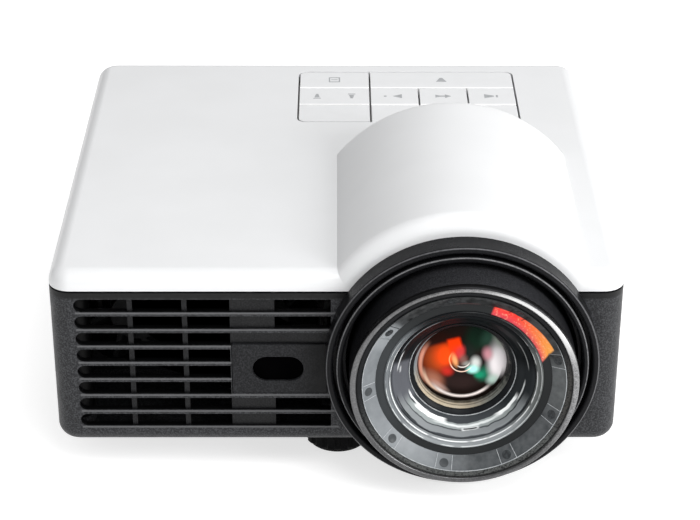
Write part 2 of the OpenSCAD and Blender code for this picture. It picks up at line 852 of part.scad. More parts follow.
// Stepped black tube that holds the front lens off and carries the inner lens
module baffle_tube() {
    mouth_r = bowl_r - 0.2;
    step_r = (mouth_r - inner_lens_r) / baffle_steps;
    rim_r = drum_bore_r - fit_gap;
    rim_back = lens_back_s + 1.6;
    steps = [for (i = [0:baffle_steps - 1], k = [0, 1])
        [mouth_r - i * step_r, lens_back_s + (i + k) * baffle_step_s]];
    seat_back = inner_seat_s + inner_seat_d;
    back = drum_back - drum_floor;
    bore_r = inner_lens_r + press_gap;
    lip_r = bore_r - 1.2;
    body_r = cell_bore_r - 0.2;
    color("#111214") on_lens() rotate_extrude() polygon(concat(steps, [
        [bore_r, inner_seat_s], [bore_r, seat_back], [lip_r, seat_back], [lip_r, back],
        [body_r, back], [body_r, inner_seat_s], [tube_r, inner_seat_s - 1],
        [tube_r, rim_back], [rim_r, rim_back], [rim_r, lens_back_s]]));
}

module inner_lens() {
    sag = inner_lens_sag;
    ball_r = (pow(inner_lens_r, 2) + pow(sag, 2)) / (2 * sag);
    color("darkorange") on_lens(inner_seat_s - sag) intersection() {
        cylinder(r = inner_lens_r, h = sag + inner_seat_d);
        translate([0, 0, ball_r]) sphere(ball_r);
    }
}

module lens_screws() {
    color("silver") for (x = flange_fix_x, h = flange_fix_h) {
        rod_y(lens_x + x, lens_h + h, tube_back - head_t, tube_back, head_r);
        rod_y(lens_x + x, lens_h + h, tube_back, engine_s + engine_wall, screw_r);
    }
}

module focus_cell() {
    cell_r = cell_bore_r - run_gap;
    color("#2a2b2e") difference() {
        union() {
            on_lens(cell_s) cylinder(r = cell_r, h = cell_len);
            block(lens_x - arm_w / 2, lens_x + arm_w / 2, arm_s, arm_s + arm_d, lens_h + 12,
                lens_h + arm_top);
        }
        on_lens(cell_s - 1) cylinder(r = cell_open_r, h = cell_len + 2);
        rod_y(lens_x, lens_h + lead_h, arm_s - 1, arm_s + arm_d + 1, lead_r + run_gap);
        rod_y(lens_x, lens_h + rod_h, arm_s - 1, arm_s + arm_d + 1, rod_r + run_gap);
    }
}

module focus_lens() {
    r = cell_open_r - press_gap;
    edge_s = cell_s + 2;
    edge_back = edge_s + 4;
    front_sag = 1.5;
    back_sag = 2;
    color("lightcyan", 0.5) on_lens() rotate_extrude() polygon(concat(
        dish(r, edge_s - front_sag, front_sag, 8),
        backwards(dish(r, edge_back + back_sag, -back_sag, 8))));
}

module focus_bracket() {
    half = bracket_w / 2;
    low = lens_h + tube_r;
    color("silver") difference() {
        union() {
            for (s = [bracket_s, ear_back])
                block(lens_x - half, lens_x + half, s, s + ear_t, low, lens_h + arm_top);
            for (x = [-half, half - bracket_bar])
                block(lens_x + x, lens_x + x + bracket_bar, bracket_s, bracket_back, low,
                    low + bracket_bar);
        }
        for (s = [bracket_s, ear_back]) {
            rod_y(lens_x, lens_h + lead_h, s - 1, s + ear_t + 1, journal_r + run_gap);
            rod_y(lens_x, lens_h + rod_h, s - 1, s + ear_t + 1, rod_r + press_gap);
        }
    }
}

module focus_screw() {
    end_gap = 0.2;
    color("goldenrod") {
        rod_y(lens_x, lens_h + lead_h, bracket_s + ear_t + end_gap, ear_back - end_gap, lead_r);
        rod_y(lens_x, lens_h + lead_h, bracket_s + end_gap, bracket_back + 2, journal_r);
    }
}

module focus_motor() {
    color("gray") difference() {
        rod_y(lens_x, lens_h + lead_h, bracket_back, bracket_back + motor_len, motor_r);
        rod_y(lens_x, lens_h + lead_h, bracket_back - 1, bracket_back + 3,
            journal_r + run_gap);
    }
}

module guide_rod() {
    color("silver") rod_y(lens_x, lens_h + rod_h, bracket_s, bracket_back, rod_r);
}

function led_at(n) = led_x + n * led_pitch;

module engine_housing() {
    w = engine_wall;
    chip_w = chip_half_w + chip_gap;
    chip_h = chip_half_h + chip_gap;
    color("#303236") difference() {
        block(engine_left, engine_right, engine_s, engine_back, engine_low,
            engine_low + engine_h);
        block(engine_left + w, engine_right - w, engine_s + w, engine_back - w,
            engine_low + w, engine_low + engine_h - w);
        for (n = [0:2])
            rod_y(led_at(n), lens_h, engine_s - 1, engine_s + w + 1, led_cone_r + 0.2);
        rod_y(lens_x, lens_h, engine_s - 1, engine_s + w + 1, exit_r);
        block(lens_x - chip_w, lens_x + chip_w, engine_back - w - 1, engine_back + 1,
            lens_h - chip_h, lens_h + chip_h);
        for (x = flange_fix_x, h = flange_fix_h)
            rod_y(lens_x + x, lens_h + h, engine_s - 1, engine_s + w + 0.2,
                screw_r + screw_bite);
    }
}

module led_modules() {
    for (n = [0:2]) color(["red", "lime", "blue"][n]) {
        block(led_at(n) - led_half, led_at(n) + led_half, sink_back, engine_s,
            lens_h - led_half, lens_h + led_half);
        rod_y(led_at(n), lens_h, engine_s, engine_s + led_cone_d, led_cone_r);
    }
}

module dichroic_plates() {
    color("plum", 0.6) for (n = [0:2])
        at(led_at(n), engine_mid_s, engine_low + engine_wall) rotate([0, 0, 45])
            translate([-plate_len / 2, -plate_t / 2, 0])
                cube([plate_len, plate_t, engine_h - 2 * engine_wall]);
}

module relay_lens() {
    x = (led_at(2) + lens_x - relay_t) / 2;
    color("lightcyan", 0.5) at(x, engine_mid_s, lens_h) rotate([0, 90, 0]) intersection() {
        cylinder(r = min(engine_h, engine_d) / 2 - engine_wall, h = relay_t);
        translate([0, 0, relay_r]) sphere(relay_r);
    }
}

module prism() {
    half = prism_a / 2;
    color("lightblue", 0.5)
        block(lens_x - half, lens_x + half, engine_mid_s - half, engine_mid_s + half,
            engine_low + engine_wall, engine_low + engine_h - engine_wall);
}

module mirror_chip() {
    color("slategray")
        block(lens_x - chip_half_w, lens_x + chip_half_w, engine_back - engine_wall,
            engine_back, lens_h - chip_half_h, lens_h + chip_half_h);
}

module chip_board() {
    color("darkgreen")
        block(lens_x - chip_board_half_w, lens_x + chip_board_half_w, engine_back,
            engine_back + board_t, lens_h - chip_board_half_h, lens_h + chip_board_half_h);
}

// A base plate with upright fins
module finned(x0, w, base_s0, base_s1, fin_s0, fin_s1, h0, h1, fins) {
    step = (w - fin_t) / (fins - 1);
    color("silver") {
        block(x0, x0 + w, base_s0, base_s1, h0, h1);
        for (n = [0:fins - 1])
            block(x0 + n * step, x0 + n * step + fin_t, fin_s0, fin_s1, h0, h1);
    }
}

module chip_heat_sink() {
    front = engine_back + board_t;
    finned(lens_x - chip_sink_half_w, 2 * chip_sink_half_w, front, front + chip_sink_base,
        front, front + chip_fin_d, lens_h - chip_sink_half_h, lens_h + chip_sink_half_h,
        chip_fins);
}

module heat_sink() {
    finned(fans_x, sink_w, sink_back - sink_base, sink_back, sink_s, sink_back, fans_h,
        fans_h + fan_a, sink_fins);
}

function fan_x(n) = fans_x + fan_a / 2 + n * fan_step;

module fan_frames() {
    spoke_s = fan_s + fan_t - spoke_t;
    for (n = [0, 1]) color("#151618") {
        difference() {
            block(fan_x(n) - fan_a / 2, fan_x(n) + fan_a / 2, fan_s, fan_s + fan_t, fans_h,
                fans_h + fan_a);
            rod_y(fan_x(n), fan_mid_h, fan_s - 1, fan_s + fan_t + 1, fan_a / 2 - fan_rim);
        }
        for (turn = [0:3]) at(fan_x(n), spoke_s, fan_mid_h)
            rotate([0, 45 + 90 * turn, 0]) translate([0, 0, -spoke_a / 2])
                cube([fan_a / 2 + 0.4, spoke_t, spoke_a]);
        rod_y(fan_x(n), fan_mid_h, spoke_s, fan_s + fan_t, hub_r);
        rod_y(fan_x(n), fan_mid_h, fan_s + 2, spoke_s, fan_pin_r);
    }
}

module fan_rotor(n) {
    blade_r = fan_a / 2 - fan_rim - 0.5;
    color("#1f2023") difference() {
        union() {
            rod_y(fan_x(n), fan_mid_h, rotor_front, rotor_front + rotor_len, hub_r);
            intersection() {
                rod_y(fan_x(n), fan_mid_h, rotor_front + 0.2, rotor_front + rotor_len - 0.2,
                    blade_r);
                for (turn = [0:fan_blades - 1])
                    at(fan_x(n), rotor_front + rotor_len / 2, fan_mid_h)
                        rotate([0, 360 / fan_blades * turn, 0]) rotate([blade_angle, 0, 0])
                            translate([hub_r - 1, -fan_t, -blade_t / 2])
                                cube([blade_r, 2 * fan_t, blade_t]);
            }
        }
        rod_y(fan_x(n), fan_mid_h, fan_s + 1.8, fan_s + fan_t, fan_pin_r + run_gap);
    }
}

module fan_rotor_left() { fan_rotor(0); }

module fan_rotor_right() { fan_rotor(1); }

module main_board() {
    color("darkgreen") difference() {
        union() {
            block(-board_half_w, board_half_w, board_s, board_back, board_low, board_top);
            for (p = packages)
                block(p[0], p[0] + p[2], board_s + p[1], board_s + p[1] + p[3], board_top,
                    board_top + p[4]);
        }
        for (s = board_fix_s) for (x = board_fix_x)
            post(x, s, 1, board_top + 1, board_screw_r + screw_clear);
    }
}

module board_screws() {
    color("silver") for (s = board_fix_s) for (x = board_fix_x) {
        post(x, s, board_top, board_top + board_head_t, head_r);
        post(x, s, board_screw_low, board_top, board_screw_r);
    }
}

module port_body(p, back) {
    block(p[0] - p[1] / 2, p[0] + p[1] / 2, port_back - port_len, back, board_top,
        board_top + p[2]);
}

// A metal shell with a plastic tongue inside
module tongue_socket(p, tongue_w, tongue_t, tongue_low, shell_colour) {
    half = p[1] / 2 - port_shell;
    color(shell_colour) difference() {
        port_body(p, port_back);
        block(p[0] - half, p[0] + half, port_back - port_len + 2, port_back + 1,
            board_top + port_shell, board_top + p[2] - port_shell);
    }
    color("#101010")
        block(p[0] - tongue_w / 2, p[0] + tongue_w / 2, port_back - port_len + 1,
            port_back - 1.5, board_top + tongue_low, board_top + tongue_low + tongue_t);
}

module power_jack() {
    h = board_top + power_port[2] / 2;
    color("#141414") difference() {
        port_body(power_port, port_back);
        rod_y(power_port[0], h, port_back - 9.5, port_back + 1, power_bore_r);
    }
    color("silver") rod_y(power_port[0], h, port_back - 10, port_back - 1, power_pin_r);
}

module hdmi_socket() { tongue_socket(hdmi_port, 11, 1, 2.8, "silver"); }

module usb_socket() { tongue_socket(usb_port, 11.2, 1.8, 3.3, "silver"); }

module universal_socket() { tongue_socket(universal_port, 9.4, 0.8, 1.8, "dimgray"); }

module audio_jack() {
    h = board_top + audio_port[2] / 2;
    body_back = panel_lip_s - 0.2;
    color("#141414") difference() {
        union() {
            port_body(audio_port, body_back);
            rod_y(audio_port[0], h, body_back, port_back, audio_port[2] / 2);
        }
        rod_y(audio_port[0], h, port_back - audio_bore_len, port_back + 1, audio_bore_r);
    }
}

module card_slot() {
    color("silver") difference() {
        port_body(card_port, port_back);
        block(card_port[0] - card_w / 2, card_port[0] + card_w / 2, port_back - port_len + 1,
            port_back + 1, board_top + port_shell, board_top + port_shell + card_t);
    }
}

module remote_window() {
    color("#200808") {
        rod_y(remote_x, remote_h, panel_lip_s, case_d - 0.4, remote_r);
        rod_y(remote_x, remote_h, panel_lip_s - 1, panel_lip_s, remote_r + remote_lip);
    }
}

module speaker_frame() {
    color("#17181a") {
        difference() {
            rod_x(speaker_s, speaker_h, -side_x, speaker_t - side_x, speaker_r);
            rod_x(speaker_s, speaker_h, -side_x - 1, speaker_open - side_x,
                speaker_r - speaker_wall);
        }
        // bracket that ties the speaker to the floor
        block(speaker_foot[0] - side_x, speaker_foot[1] - side_x,
            speaker_s - speaker_foot_half, speaker_s + speaker_foot_half, wall,
            speaker_h - speaker_r + 0.5);
    }
}

module speaker_cone() {
    r = speaker_r - speaker_wall - fit_gap;
    color("dimgray") at(-side_x, speaker_s, speaker_h) rotate([0, 90, 0]) rotate_extrude()
        polygon([[0, coil_s], [coil_r, coil_s], [r, 1], [r, 2], [coil_r + 0.6, speaker_open],
            [0, speaker_open]]);
}

function spot_x(spot) = (spot[0] + spot[1]) / 2;
function spot_s(spot) = keys_s0 + (spot[2] + 0.5) * key_row;
function post_reach(spot) = (spot[1] - spot[0]) / 2 - 2 * post_r;

module cap(spot) {
    half = key_gap / 2;
    intersection() {
        block(spot[0] + half, spot[1] - half, spot_s(spot) - key_row / 2 + half,
            spot_s(spot) + key_row / 2 - half, cap_low, top_h);
        keys_window(-key_gap, cap_low - 1, top_h + 1);
    }
}

module press_key(spot) {
    color("whitesmoke") {
        cap(spot);
        for (side = [-1, 1])
            post(spot_x(spot) + side * post_reach(spot), spot_s(spot),
                plunger_low + side_post_up, cap_low + into_part, post_r);
        post(spot_x(spot), spot_s(spot), plunger_low, cap_low + into_part, post_r);
    }
}

module menu_key() { press_key(menu_spot); }

module power_key() { press_key(power_spot); }

module up_key() { press_key(up_spot); }

module left_key() { press_key(left_spot); }

module enter_key() { press_key(enter_spot); }

module right_key() { press_key(right_spot); }

module down_key() { press_key(down_spot); }

module focus_rocker() {
    color("whitesmoke") difference() {
        union() {
            cap(rocker_spot);
            block(rocker_x - rocker_block, rocker_x + rocker_block,
                rocker_s - rocker_block_half_d, rocker_s + rocker_block_half_d,
                rocker_pin_h - rocker_eye, cap_low + into_part);
            for (side = [-1, 1])
                post(rocker_x + side * rocker_arm, rocker_s, rocker_low, cap_low + into_part,
                    rocker_post_r);
        }
        rod_y(rocker_x, rocker_pin_h, rocker_s - 3, rocker_s + 3, rocker_pin_r + run_gap);
    }
}

module rocker_pin() {
    color("silver")
        rod_y(rocker_x, rocker_pin_h, rocker_s - rocker_pin_half, rocker_s + rocker_pin_half,
            rocker_pin_r);
}

// Tray under the keys: it hangs from the cover, guides the key posts and carries the board
module key_guide() {
    rim = key_gap + guide_rim;
    ear_d = 1.5;
    ear_half = 1.6;
    room_x = rocker_block + rocker_room;
    room_s = rocker_block_half_d + 0.3;
    color("lightgray") difference() {
        union() {
            keys_window(rim, guide_low, guide_top);
            difference() {
                keys_window(rim, guide_low, ceiling_h);
                keys_window(key_gap, guide_low - 1, ceiling_h + 1);
            }
            // ears for the pin of the focus rocker
            for (s = [rocker_s - rocker_pin_half, rocker_s + rocker_pin_half - ear_d])
                block(rocker_x - ear_half, rocker_x + ear_half, s, s + ear_d,
                    rocker_pin_h - rocker_eye, guide_low + into_part);
            // legs that carry the key board
            for (x = [keys_x0, keys_x1], s = [keys_s0, keys_s1])
                post(x, s, key_board_top, guide_low + into_part, leg_r);
        }
        for (spot = press_spots) {
            for (side = [-1, 1])
                post(spot_x(spot) + side * post_reach(spot), spot_s(spot), guide_low - 1,
                    guide_top + 1, post_r + run_gap);
            post(spot_x(spot), spot_s(spot), guide_low - 1, guide_top + 1, post_r + 0.4);
        }
        block(rocker_x - room_x, rocker_x + room_x, rocker_s - room_s, rocker_s + room_s,
            rocker_pin_h - 2, guide_top + 1);
        for (side = [-1, 1])
            post(rocker_x + side * rocker_arm, rocker_s, guide_low - 1, guide_top + 1,
                rocker_post_r + rocker_room + 0.1);
        rod_y(rocker_x, rocker_pin_h, rocker_s - 5, rocker_s + 5, rocker_pin_r + press_gap);
    }
}

module key_board() {
    rim = key_board_rim;
    color("darkgreen") block(keys_x0 - rim, keys_x1 + rim, keys_s0 - rim, keys_s1 + rim,
        key_board_top - board_t, key_board_top);
    color("silver") {
        for (spot = press_spots)
            post(spot_x(spot), spot_s(spot), key_board_top, key_board_top + switch_h,
                switch_r);
        for (side = [-1, 1])
            post(rocker_x + side * rocker_arm, rocker_s, key_board_top,
                key_board_top + switch_h, switch_r);
    }
}

module foot_wheel() {
    color("#121214") difference() {
        union() {
            post(foot_x, foot_s, wheel_low, wheel_top, wheel_r);
            post(foot_x, foot_s, wheel_top, foot_boss_top - 1, stem_r);
        }
        for (n = [0:wheel_scallops - 1])
            at(foot_x, foot_s, wheel_low - 1) rotate([0, 0, 360 / wheel_scallops * n])
                translate([wheel_r + scallop_out, 0, 0]) cylinder(r = scallop_r, h = foot_h + 1);
        post(foot_x, foot_s, wheel_low - 1, wheel_low + swivel_len + 0.2, swivel_r + run_gap);
    }
}

module foot_pad() {
    color("#1a1a1a") {
        post(foot_x, foot_s, -foot_h, wheel_low, foot_pad_r);
        post(foot_x, foot_s, wheel_low, wheel_low + swivel_len, swivel_r);
    }
}

module rear_feet() {
    color("#1a1a1a") for (x = [-rear_foot_x, rear_foot_x])
        post(x, rear_foot_s, -foot_h, rear_pad_top, pad_r);
}

module tripod_insert() {
    color("goldenrod") difference() {
        post(tripod_x, tripod_s, 0, tripod_len, tripod_r);
        post(tripod_x, tripod_s, -1, tripod_len - tripod_roof, tripod_bore_r);
    }
}

module case_screws() {
    color("silver") bosses() {
        translate([0, 0, head_seat - head_t]) cylinder(r = head_r, h = head_t);
        translate([0, 0, head_seat])
            cylinder(r = screw_r, h = boss_split + screw_reach - head_seat);
    }
}

top_cover();
lower_case();
rear_panel();
sensor_plate();
sensor_window();
sensor_board();
lens_collar();
trim_ring();
lens_barrel();
bezel_ring();
front_lens();
baffle_tube();
inner_lens();
lens_screws();
focus_cell();
focus_lens();
focus_bracket();
focus_screw();
focus_motor();
guide_rod();
engine_housing();
led_modules();
dichroic_plates();
relay_lens();
prism();
mirror_chip();
chip_board();
chip_heat_sink();
heat_sink();
fan_frames();
fan_rotor_left();
fan_rotor_right();
main_board();
board_screws();
power_jack();
hdmi_socket();
usb_socket();
audio_jack();
universal_socket();
card_slot();
remote_window();
speaker_frame();
speaker_cone();
key_guide();
key_board();
rocker_pin();
menu_key();
focus_rocker();
power_key();
up_key();
left_key();
enter_key();
right_key();
down_key();
foot_wheel();
foot_pad();
rear_feet();
tripod_insert();
case_screws();
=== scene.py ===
"""Looks of a pocket projector: finished pieces, materials, light and camera."""

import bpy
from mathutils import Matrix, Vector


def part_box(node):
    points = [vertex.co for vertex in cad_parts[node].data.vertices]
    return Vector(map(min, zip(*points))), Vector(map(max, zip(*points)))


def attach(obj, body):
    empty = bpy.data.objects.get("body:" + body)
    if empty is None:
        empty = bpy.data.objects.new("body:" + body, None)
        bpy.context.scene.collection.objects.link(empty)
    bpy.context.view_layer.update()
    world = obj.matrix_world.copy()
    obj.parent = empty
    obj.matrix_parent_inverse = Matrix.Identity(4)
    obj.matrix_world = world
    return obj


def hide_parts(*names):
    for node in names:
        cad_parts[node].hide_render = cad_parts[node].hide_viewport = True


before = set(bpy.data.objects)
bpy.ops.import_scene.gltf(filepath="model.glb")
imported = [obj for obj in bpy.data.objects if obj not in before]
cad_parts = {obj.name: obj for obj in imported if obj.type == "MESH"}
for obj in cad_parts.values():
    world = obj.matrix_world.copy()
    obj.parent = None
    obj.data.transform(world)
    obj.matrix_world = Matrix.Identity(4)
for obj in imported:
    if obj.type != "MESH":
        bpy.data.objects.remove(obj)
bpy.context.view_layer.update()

import math

import bmesh
import bpy
from mathutils import Matrix, Vector

scene = bpy.context.scene
MM = 0.001

# ---------------------------------------------------------------- camera

CAMERA_PLACE = Vector((-0.06, -392.71, 236.15)) * MM
PITCH, YAW, ROLL = (math.radians(a) for a in (28.41, 0.436, 0.215))
FOCAL_LENGTH, SENSOR_WIDTH = 105.79, 36     # of the camera, in mm

forward = Vector((math.sin(YAW) * math.cos(PITCH), math.cos(YAW) * math.cos(PITCH),
                  -math.sin(PITCH)))
level = Vector((math.cos(YAW), -math.sin(YAW), 0))
upright = level.cross(forward)
right = math.cos(ROLL) * level + math.sin(ROLL) * upright
up = math.cos(ROLL) * upright - math.sin(ROLL) * level
camera = bpy.data.objects.new("camera", bpy.data.cameras.new("camera"))
scene.collection.objects.link(camera)
camera.matrix_world = Matrix.Translation(CAMERA_PLACE) @ Matrix(
    (right, up, -forward)).transposed().to_4x4()
camera.data.lens = FOCAL_LENGTH
camera.data.sensor_width = SENSOR_WIDTH
camera.data.clip_start = 0.01
scene.camera = camera

# ---------------------------------------------------------------- places in mm, from the frame


def middle(node):
    low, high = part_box(node)
    return (low + high) / 2 / MM


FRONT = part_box("lower_case")[0].y / MM      # front face of the case
KEY_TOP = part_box("enter_key")[1].z / MM     # tops of the keys, flush with the cover
LENS_X, LENS_Z = middle("trim_ring").x, middle("trim_ring").z


def on_lens(radius, angle, s):
    """A point beside the lens axis, s behind the case front, in metres."""
    a = math.radians(angle)
    return Vector((LENS_X + radius * math.cos(a), FRONT + s,
                   LENS_Z + radius * math.sin(a))) * MM


# ---------------------------------------------------------------- materials

def srgb(text):
    """Linear colour of a screen colour such as '#a0b1c2'."""
    parts = [int(text[i:i + 2], 16) / 255 for i in (1, 3, 5)]
    return [c / 12.92 if c <= 0.04045 else ((c + 0.055) / 1.055) ** 2.4 for c in parts]


class Surface:
    """A Principled material whose patterns are measured in millimetres of the row frame."""

    def __init__(self, name, color, roughness=0.5, **sockets):
        self.material = bpy.data.materials.new(name)
        self.material.use_nodes = True
        self.tree = self.material.node_tree
        self.shader = self.tree.nodes["Principled BSDF"]
        self.color = (*color[:3], 1)
        self.shader.inputs["Base Color"].default_value = self.color
        self.shader.inputs["Roughness"].default_value = roughness
        for key, value in sockets.items():
            self.shader.inputs[key.replace("_", " ")].default_value = value
        coords = self.tree.nodes.new("ShaderNodeTexCoord").outputs["Object"]
        self.place = self.add("Mapping", {"Vector": coords, "Scale": (1 / MM,) * 3})

    def add(self, kind, inputs=None, output=0, **settings):
        node = self.tree.nodes.new("ShaderNode" + kind)
        for key, value in settings.items():
            setattr(node, key, value)
        for key, value in (inputs or {}).items():
            if isinstance(value, bpy.types.NodeSocket):
                self.tree.links.new(value, node.inputs[key])
            else:
                node.inputs[key].default_value = value
        return node.outputs[output]

    def math(self, operation, a, b=0.0, c=0.0):
        return self.add("Math", {0: a, 1: b, 2: c}, operation=operation)

    def product(self, *factors):
        value = factors[0]
        for factor in factors[1:]:
            value = self.math("MULTIPLY", value, factor)
        return value

    def ramp(self, value, low, high, out_low=0.0, out_high=1.0, smooth=False):
        return self.add("MapRange", {"Value": value, "From Min": low, "From Max": high,
                                     "To Min": out_low, "To Max": out_high},
                        interpolation_type="SMOOTHSTEP" if smooth else "LINEAR")

    def noise(self, size, detail=2.0, stretch=None):
        vector = self.place
        if stretch:
            vector = self.add("Mapping", {"Vector": vector, "Scale": stretch})
        return self.add("TexNoise", {"Vector": vector, "Scale": 1 / size, "Detail": detail})

    def mix(self, factor, a, b):
        node = self.tree.nodes.new("ShaderNodeMix")
        node.data_type = "RGBA"
        for socket, value in ((node.inputs[0], factor), (node.inputs[6], a),
                              (node.inputs[7], b)):
            if isinstance(value, bpy.types.NodeSocket):
                self.tree.links.new(value, socket)
            elif isinstance(value, (int, float)):
                socket.default_value = value
            else:
                socket.default_value = (*value[:3], 1)
        return node.outputs[2]

    def paint(self, factor, other):
        """Lay another colour over this one where factor is 1."""
        self.color = self.mix(factor, self.color, other)
        self.tree.links.new(self.color, self.shader.inputs["Base Color"])
        return self

    def mottle(self, other, size, low=0.35, high=0.65, detail=2.0):
        """Patches of another colour, size across."""
        return self.paint(self.ramp(self.noise(size, detail), low, high), other)

    def polish(self, low, high, size, stretch=None):
        """Roughness that wanders between two values."""
        value = self.ramp(self.noise(size, 3.0, stretch), 0.3, 0.7, low, high)
        self.tree.links.new(value, self.shader.inputs["Roughness"])
        return self

    def grain(self, size, depth, detail=2.0, stretch=None):
        """Relief with bumps size across and depth high."""
        bump = self.add("Bump", {"Height": self.noise(size, detail, stretch),
                                 "Distance": depth * MM, "Strength": 1.0})
        self.tree.links.new(bump, self.shader.inputs["Normal"])
        return self

    def axes(self, origin=(0, 0, 0)):
        """x across, s behind the case front and z, counted from origin, in mm."""
        moved = self.add("Mapping", {"Vector": self.place, "Location": (
            -origin[0], -FRONT - origin[1], -origin[2])})
        split = self.tree.nodes.new("ShaderNodeSeparateXYZ")
        self.tree.links.new(moved, split.inputs[0])
        return tuple(split.outputs)

    def lens_place(self):
        """u across and v up from the lens axis in mm, the radius, and the angle in degrees."""
        u, _, v = self.axes((LENS_X, 0, LENS_Z))
        return u, v, self.length(u, v), self.product(self.math("ARCTAN2", v, u), 180 / math.pi)

    def length(self, a, b):
        return self.math("SQRT", self.math("ADD", self.product(a, a), self.product(b, b)))

    def band(self, value, low, high, soft):
        """1 between low and high, fading out over soft on either side."""
        rise = self.ramp(value, low - soft, low + soft, smooth=True)
        return self.product(rise, self.ramp(value, high - soft, high + soft, 1.0, 0.0,
                                            smooth=True))

    def arc(self, angle, middle_angle, half, soft):
        """A band of angles round middle_angle, also across the left side."""
        turned = self.math("WRAP", self.math("SUBTRACT", angle, middle_angle), 180.0, -180.0)
        return self.ramp(self.math("ABSOLUTE", turned), half - soft, half + soft, 1.0, 0.0,
                         smooth=True)

    def blob(self, u, v, centre, half, turn=0.0, core=0.3):
        """A soft ellipse in the lens plane: 1 inside its core, 0 outside."""
        c, s = math.cos(math.radians(turn)), math.sin(math.radians(turn))
        du, dv = self.math("SUBTRACT", u, centre[0]), self.math("SUBTRACT", v, centre[1])
        along = self.math("ADD", self.product(du, c / half[0]), self.product(dv, s / half[0]))
        across = self.math("ADD", self.product(dv, c / half[1]),
                           self.product(du, -s / half[1]))
        return self.ramp(self.length(along, across), core, 1.0, 1.0, 0.0, smooth=True)

    def patch(self, u, v, centre, half, turn=0.0, soft=0.3):
        """A rectangle in the lens plane with soft edges."""
        c, s = math.cos(math.radians(turn)), math.sin(math.radians(turn))
        du, dv = self.math("SUBTRACT", u, centre[0]), self.math("SUBTRACT", v, centre[1])
        along = self.math("ADD", self.product(du, c), self.product(dv, s))
        across = self.math("ADD", self.product(dv, c), self.product(du, -s))
        return self.product(self.band(along, -half[0], half[0], soft),
                            self.band(across, -half[1], half[1], soft))


def plastic(name, color, roughness, grain_size, depth, other, **sockets):
    """Moulded plastic: spark-eroded grain, slight mottling and uneven polish."""
    surface = Surface(name, color, roughness, **sockets)
    surface.mottle(other, grain_size * 1.2, 0.42, 0.66)
    surface.polish(roughness - 0.05, roughness + 0.07, grain_size * 12)
    return surface.grain(grain_size, depth, 3.0)


def metal(name, color, roughness, grain_size, depth, stretch=None):
    """Metal with machining or casting marks."""
    surface = Surface(name, color, roughness, Metallic=1.0)
    surface.mottle([c * 0.8 for c in color], grain_size * 8)
    surface.polish(roughness - 0.06, roughness + 0.1, grain_size * 5, stretch)
    return surface.grain(grain_size, depth, 3.0, stretch)


WHITE, WHITE_SHADE = (0.675, 0.68, 0.688), (0.66, 0.665, 0.672)
cover_white = Surface("cover_white", WHITE, 0.3, Coat_Weight=0.1, Coat_Roughness=0.15,
                      Specular_IOR_Level=0.35)
cover_white.mottle(WHITE_SHADE, 14).polish(0.28, 0.34, 6).grain(0.9, 0.001)
key_white = Surface("key_white", WHITE, 0.36)
key_white.mottle(WHITE_SHADE, 3).polish(0.33, 0.4, 3).grain(0.25, 0.002)
icon_gray = Surface("icon_gray", srgb("#a0a2a4"), 0.4)
icon_gray.mottle(srgb("#949698"), 0.6).grain(0.2, 0.002)

CASE, CASE_FLECK, CASE_SHADE = (0.012, 0.0124, 0.0138), (0.048, 0.049, 0.053), (0.004,) * 3
case_black = plastic("case_black", CASE, 0.42, 0.26, 0.03, CASE_FLECK,
                     Specular_IOR_Level=0.2)
rear_black = plastic("rear_black", CASE, 0.42, 0.26, 0.03, CASE_FLECK,
                     Specular_IOR_Level=0.2)
plate_black = plastic("plate_black", (0.0065, 0.0068, 0.0078), 0.45, 0.22, 0.025,
                      (0.022, 0.0225, 0.025), Specular_IOR_Level=0.15)
collar_black = plastic("collar_black", (0.0055, 0.0056, 0.0064), 0.3, 0.2, 0.008,
                       (0.011, 0.0112, 0.0125), Specular_IOR_Level=0.09)
barrel_black = plastic("barrel_black", (0.0145, 0.0148, 0.0165), 0.45, 0.2, 0.012,
                       (0.036, 0.0365, 0.040), Specular_IOR_Level=0.03)
window_black = Surface("window_black", (0.0006, 0.0006, 0.0007), 0.1, Specular_IOR_Level=0.0)
window_black.mottle((0.001, 0.0009, 0.0011), 4).grain(2.5, 0.0005)
fan_black = plastic("fan_black", (0.005, 0.005, 0.0055), 0.5, 0.4, 0.01,
                    (0.009, 0.009, 0.010), Specular_IOR_Level=0.2)
engine_black = plastic("engine_black", (0.03, 0.031, 0.034), 0.55, 0.6, 0.03,
                       (0.05, 0.051, 0.055))
socket_black = plastic("socket_black", (0.012, 0.012, 0.013), 0.4, 0.3, 0.01,
                       (0.02, 0.02, 0.021))
foot_black = plastic("foot_black", (0.002, 0.002, 0.0024), 0.5, 0.3, 0.02,
                     (0.005, 0.005, 0.0055), Specular_IOR_Level=0.05)
rubber = plastic("rubber", (0.008, 0.008, 0.008), 0.75, 0.5, 0.04, (0.015, 0.015, 0.015),
                 Specular_IOR_Level=0.2)
guide_white = plastic("guide_white", (0.62, 0.62, 0.61), 0.5, 0.5, 0.01, (0.58, 0.58, 0.57))
chip_gray = plastic("chip_gray", (0.2, 0.2, 0.21), 0.4, 0.3, 0.01, (0.16, 0.16, 0.17))

steel = metal("steel", (0.56, 0.56, 0.57), 0.28, 0.2, 0.004)
brass = metal("brass", (0.68, 0.47, 0.18), 0.28, 0.2, 0.006)
aluminium = metal("aluminium", (0.42, 0.43, 0.44), 0.42, 0.3, 0.01)
socket_metal = metal("socket_metal", (0.55, 0.55, 0.56), 0.25, 0.2, 0.003, (1, 6, 1))

